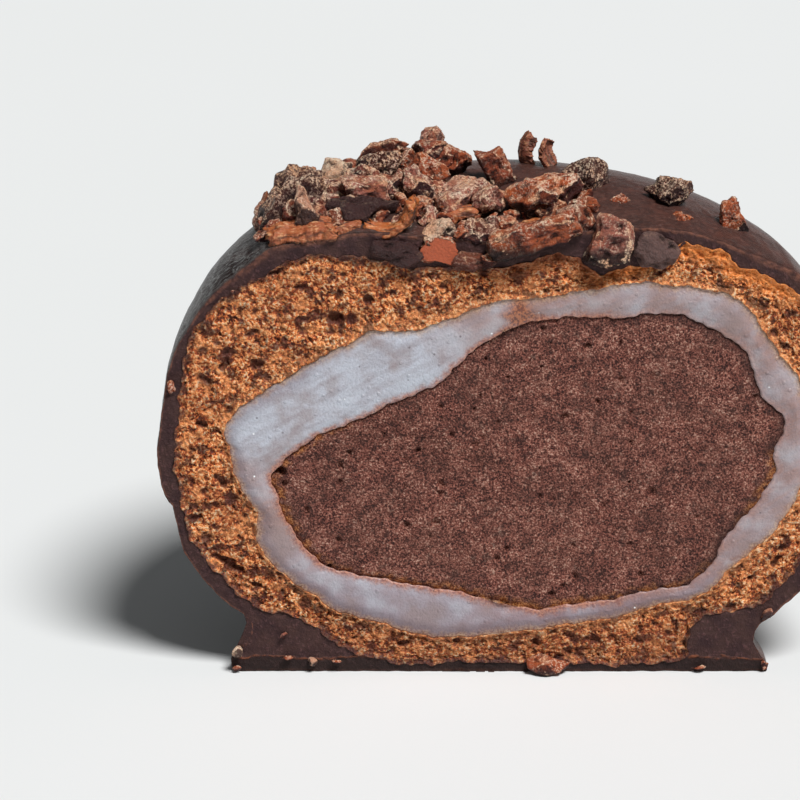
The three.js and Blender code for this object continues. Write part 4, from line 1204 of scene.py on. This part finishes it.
def nib_finish():
    """Cocoa nibs: brown by their tone, with painted shade in hollows and below, and pale dust on rims and
    upper sides that is partly painted light.
    """
    made, tree, shader, place = new_finish(
        "cocoa nib", Subsurface_Weight=0.05, Subsurface_Scale=0.0004, Specular_IOR_Level=0.25
    )
    shader["Subsurface Radius"].default_value = (1.0, 0.35, 0.2)
    tone, cover, skin, edge, rise, up, above, sliced = (
        value_of(tree, name) for name in ("tone", "cover", "skin", "edge", "rise", "up", "above", "sliced")
    )
    stops = ((0.0, "4a3332"), (0.25, "c05c36"), (0.5, "80423c"), (0.75, "b87262"), (1.0, "f0c8a8"))
    colour = ramp(tree, tone, stops)
    cloud = use(tree, PATCHES, Place=place, Per_mm=0.5, Sharpness=0.5)
    is_nib = span(tree, tone, 0.02, 0.1)
    # Orange patches on faces that look up are painted light from above.
    upward = times(tree, is_nib, span(tree, up, -0.4, 0.6, 0.0, 0.5))
    colour = mixed(tree, times(tree, cloud, upward), colour, "c46a38")
    dusky = times(tree, span(tree, cover, 0.5, 0.95, 0.1, 0.85), span(tree, tone, 0.8, 1.0, 1.0, 0.1))
    colour = mixed(tree, dusky, colour, "402621")
    bloom = times(tree, span(tree, cover, 0.2, 0.4, 0.0, 0.6), minus(tree, 1.0, is_nib))
    colour = mixed(tree, bloom, colour, "80645e")
    # Pale specks on the nibs: partly grains and partly painted sparkle.
    specks = span(tree, noise(tree, place, 4.4, 2.0, 0.6), 0.5, 0.58)
    patchy = span(tree, noise(tree, place, 0.75, 2.0, 0.5), 0.42, 0.56, 0.12, 1.0)
    specks_and_sparkle = times(tree, specks, is_nib, span(tree, skin, 0.2, 0.7, 0.1, 0.8))
    colour = mixed(tree, times(tree, specks_and_sparkle, patchy), colour, "f8d2b8")
    # Painted shade in small pits.
    dents = span(tree, noise(tree, place, 1.7, 4.0, 0.6), 0.38, 0.47, 0.7, 0.0)
    colour = mixed(tree, times(tree, dents, is_nib), colour, "3a1a16")
    shaded = span(tree, plus(tree, skin, times(tree, up, 0.5)), 0.15, 0.7, 0.9, 0.0)
    colour = mixed(tree, times(tree, shaded, is_nib), colour, "2c171d")
    # Painted shade on the lower parts of the nibs, where they sit in the heap.
    underside_shade = times(tree, span(tree, above, -1.5, -0.2, 0.9, 0.0), is_nib, span(tree, tone, 0.8, 0.88, 1.0, 0.1))
    colour = mixed(tree, underside_shade, colour, "1c1010")
    # Painted shade in the crevices of the nibs' relief.
    colour = mixed(tree, span(tree, rise, -0.5, -0.05, 0.9, 0.0), colour, "180b0b")
    # Pale crust on rims and upper sides: partly dust and partly painted light on the faces and edges that
    # catch it.
    powder = span(tree, noise(tree, place, 4.0, 3.0, 0.7), 0.47, 0.58)
    rims = larger(tree, span(tree, rise, 0.2, 0.6), span(tree, edge, 0.0, 0.11, 1.0, 0.0))
    lit = plus(tree, times(tree, rims, 0.5), span(tree, up, -0.2, 0.8, 0.0, 0.4))
    pale = span(tree, tone, 0.8, 1.0, 0.0, 0.25)
    dust = plus(tree, times(tree, cover, 0.4), times(tree, cloud, 0.15), pale)
    blotch = span(tree, noise(tree, place, 1.2, 4.0, 0.65), 0.3, 0.7, -0.25, 0.25)
    crust_and_light = span(tree, plus(tree, lit, dust, blotch), 0.6, 0.86)
    dust_and_light = times(tree, crust_and_light, span(tree, powder, 0.0, 1.0, span(tree, cover, 0.6, 0.9, 0.2, 0.0), 1.0))
    dust_and_light = times(tree, dust_and_light, span(tree, tone, 0.0, 0.1, 0.12, 1.0))
    dust_and_light = times(tree, dust_and_light, span(tree, cover, 0.6, 0.9, 1.0, 0.75))
    colour = mixed(tree, dust_and_light, colour, mixed(tree, cloud, "fde4c8", "f2bc94"))
    break_tone = mixed(tree, span(tree, tone, 0.0, 0.3), "5c4a4a", "b45b3d")
    colour = mixed(tree, sliced, colour, mixed(tree, times(tree, powder, 0.2), break_tone, "7c3a2a"))
    feed(tree, shader["Base Color"], colour)
    feed(tree, shader["Roughness"], span(tree, dust_and_light, 0.0, 0.8, 0.35, 0.7))
    rough = times(tree, noise(tree, place, 3.4, 4.0, 0.65), span(tree, sliced, 0.0, 1.0, 1.0, 0.3))
    feed(tree, shader["Normal"], bump(tree, rough, 0.6))
    return made


def husk_finish():
    """Cocoa husk: orange-brown fibres with pale flakes, painted shade on faces that look down and painted
    light where the flakes grow on upper sides.
    """
    made, tree, shader, place = new_finish("cocoa husk", Subsurface_Weight=0.15, Subsurface_Scale=0.0006)
    shader["Subsurface Radius"].default_value = (1.0, 0.35, 0.15)
    tone, fibre, up = value_of(tree, "tone"), value_of(tree, "fibre"), value_of(tree, "up")
    colour = mixed(tree, tone, "8a5648", "c26a30")
    cloud = use(tree, PATCHES, Place=place, Per_mm=0.6, Sharpness=0.5)
    colour = mixed(tree, times(tree, cloud, 0.6), colour, "8a3f20")
    # Painted shade on faces that look down.
    colour = mixed(tree, span(tree, up, -0.6, 0.3, 0.75, 0.0), colour, "3a1a12")
    along = vector(tree, "MULTIPLY", place, (0.35, 1.0, 1.0))
    # Pale flakes, stronger on upper faces as painted light.
    flakes = span(tree, noise(tree, along, 2.6, 4.0, 0.75), 0.5, 0.62)
    colour = mixed(tree, times(tree, flakes, span(tree, up, -0.2, 0.8, 0.1, 0.5)), colour, "f0bb88")
    colour = mixed(tree, span(tree, fibre, -0.14, 0.0, 0.8, 0.0), colour, "3a1d14")
    feed(tree, shader["Base Color"], colour)
    feed(tree, shader["Roughness"], span(tree, cloud, 0.0, 1.0, 0.4, 0.6))
    feed(tree, shader["Normal"], bump(tree, noise(tree, along, 2.5, 4.0, 0.6), 0.35))
    return made


# The pieces

chocolate = chocolate_finish()
nib_brown = nib_finish()
brown = crumb_finish()
dough = mochi_finish()
filling = paste_finish()
coat = layer_piece("coat", "crumb")
crumb = layer_piece("crumb", "mochi")
mochi = layer_piece("mochi", "paste")
paste = core_piece("paste")
crown = BVHTree.FromObject(coat, bpy.context.evaluated_depsgraph_get())
for piece, relief, finish in (
    (coat, coat_relief, chocolate), (crumb, crumb_relief, brown),
    (mochi, mochi_relief, dough), (paste, paste_relief, filling),
):
    apply_tree(piece, relief(finish), Material=finish)

nib_shapes = nib_tree(nib_brown)


def nib_piece(name, rows, ground=crown, **sizes):
    """One piece of all nibs in some rows, on the crown or, without ground, above the floor."""
    return apply_tree(nib_points(name, rows, ground), nib_shapes, Material=nib_brown, **sizes)


nibs = nib_piece("nibs", CHUNKS)
drips = nib_piece("drips", DRIPS, Planes=0, Scoop_depth=0.1, Scallop_height=0.8, Grain_height=0.35)
heap = nib_piece("heap", sorted(heap_nibs(HEAP, HEAP_NIB), key=lambda nib: nib[1]), Seed=9)
grit = nib_piece("grit", heap_nibs(GRIT, GRIT_NIB), Fineness=4, Seed=6)
bits = nib_piece("bits", BITS, ground=None, Fineness=3, Seed=4)
husk_brown = husk_finish()
husks = apply_tree(nib_points("husks", HUSKS, crown), husk_tree(husk_brown), Material=husk_brown)

for piece, node, slot in (
    (coat, "chocolate_coat", "chocolate"),
    (crumb, "cake_crumb", "crumb"),
    (mochi, "mochi_layer", "mochi"),
    (paste, "paste_core", "paste"),
    (nibs, "chocolate_coat", "nibs"),
    (drips, "chocolate_coat", "nibs"),
    (heap, "chocolate_coat", "nibs"),
    (grit, "chocolate_coat", "nibs"),
    (bits, "chocolate_coat", "nibs"),
    (husks, "chocolate_coat", "husk"),
):
    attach(piece, "root")
    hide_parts(node)


# Floor, light and camera


def floor_finish():
    """A pale, almost even floor."""
    made, tree, shader, place = new_finish("pale floor", Roughness=0.6)
    cloud = use(tree, PATCHES, Place=place, Per_mm=0.004, Sharpness=0.0)
    feed(tree, shader["Base Color"], mixed(tree, cloud, "e4e6e5", "e8e9e9"))
    return made


floor_mesh = bpy.data.meshes.new("floor")
corners = [(x * FLOOR_REACH, y * FLOOR_REACH, 0) for x, y in ((-1, -1), (1, -1), (1, 1), (-1, 1))]
floor_mesh.from_pydata(corners, [], [(0, 1, 2, 3)])
floor_mesh.materials.append(floor_finish())
floor = bpy.data.objects.new("floor", floor_mesh)
bpy.context.scene.collection.objects.link(floor)

sun = bpy.data.lights.new("key", "SUN")
sun.energy = SUN["strength"]
sun.angle = math.radians(SUN["width"])
key = bpy.data.objects.new("key", sun)
key.rotation_euler = Vector(SUN["towards"]).to_track_quat("-Z", "Y").to_euler()
bpy.context.scene.collection.objects.link(key)

world = bpy.data.worlds.new("studio")
bpy.context.scene.world = world
world.use_nodes = True
sky = world.node_tree.nodes["Background"].inputs
sky["Color"].default_value = SKY["colour"]
sky["Strength"].default_value = SKY["strength"]
bpy.context.scene.view_settings.view_transform = "Standard"

lens = bpy.data.cameras.new("camera")
lens.sensor_width = 36
lens.lens = lens.sensor_width * CAMERA["distance"] / CAMERA["width"]
lens.clip_start = 0.01
camera = bpy.data.objects.new("camera", lens)
down = math.radians(CAMERA["elevation"])
aim = Vector(placed(CAMERA["x"], 0.0, CAMERA["height"]))
camera.location = aim - CAMERA["distance"] * MM * Vector((0, math.cos(down), -math.sin(down)))
camera.rotation_euler = (math.pi / 2 - down, 0, 0)
bpy.context.scene.collection.objects.link(camera)
bpy.context.scene.camera = camera
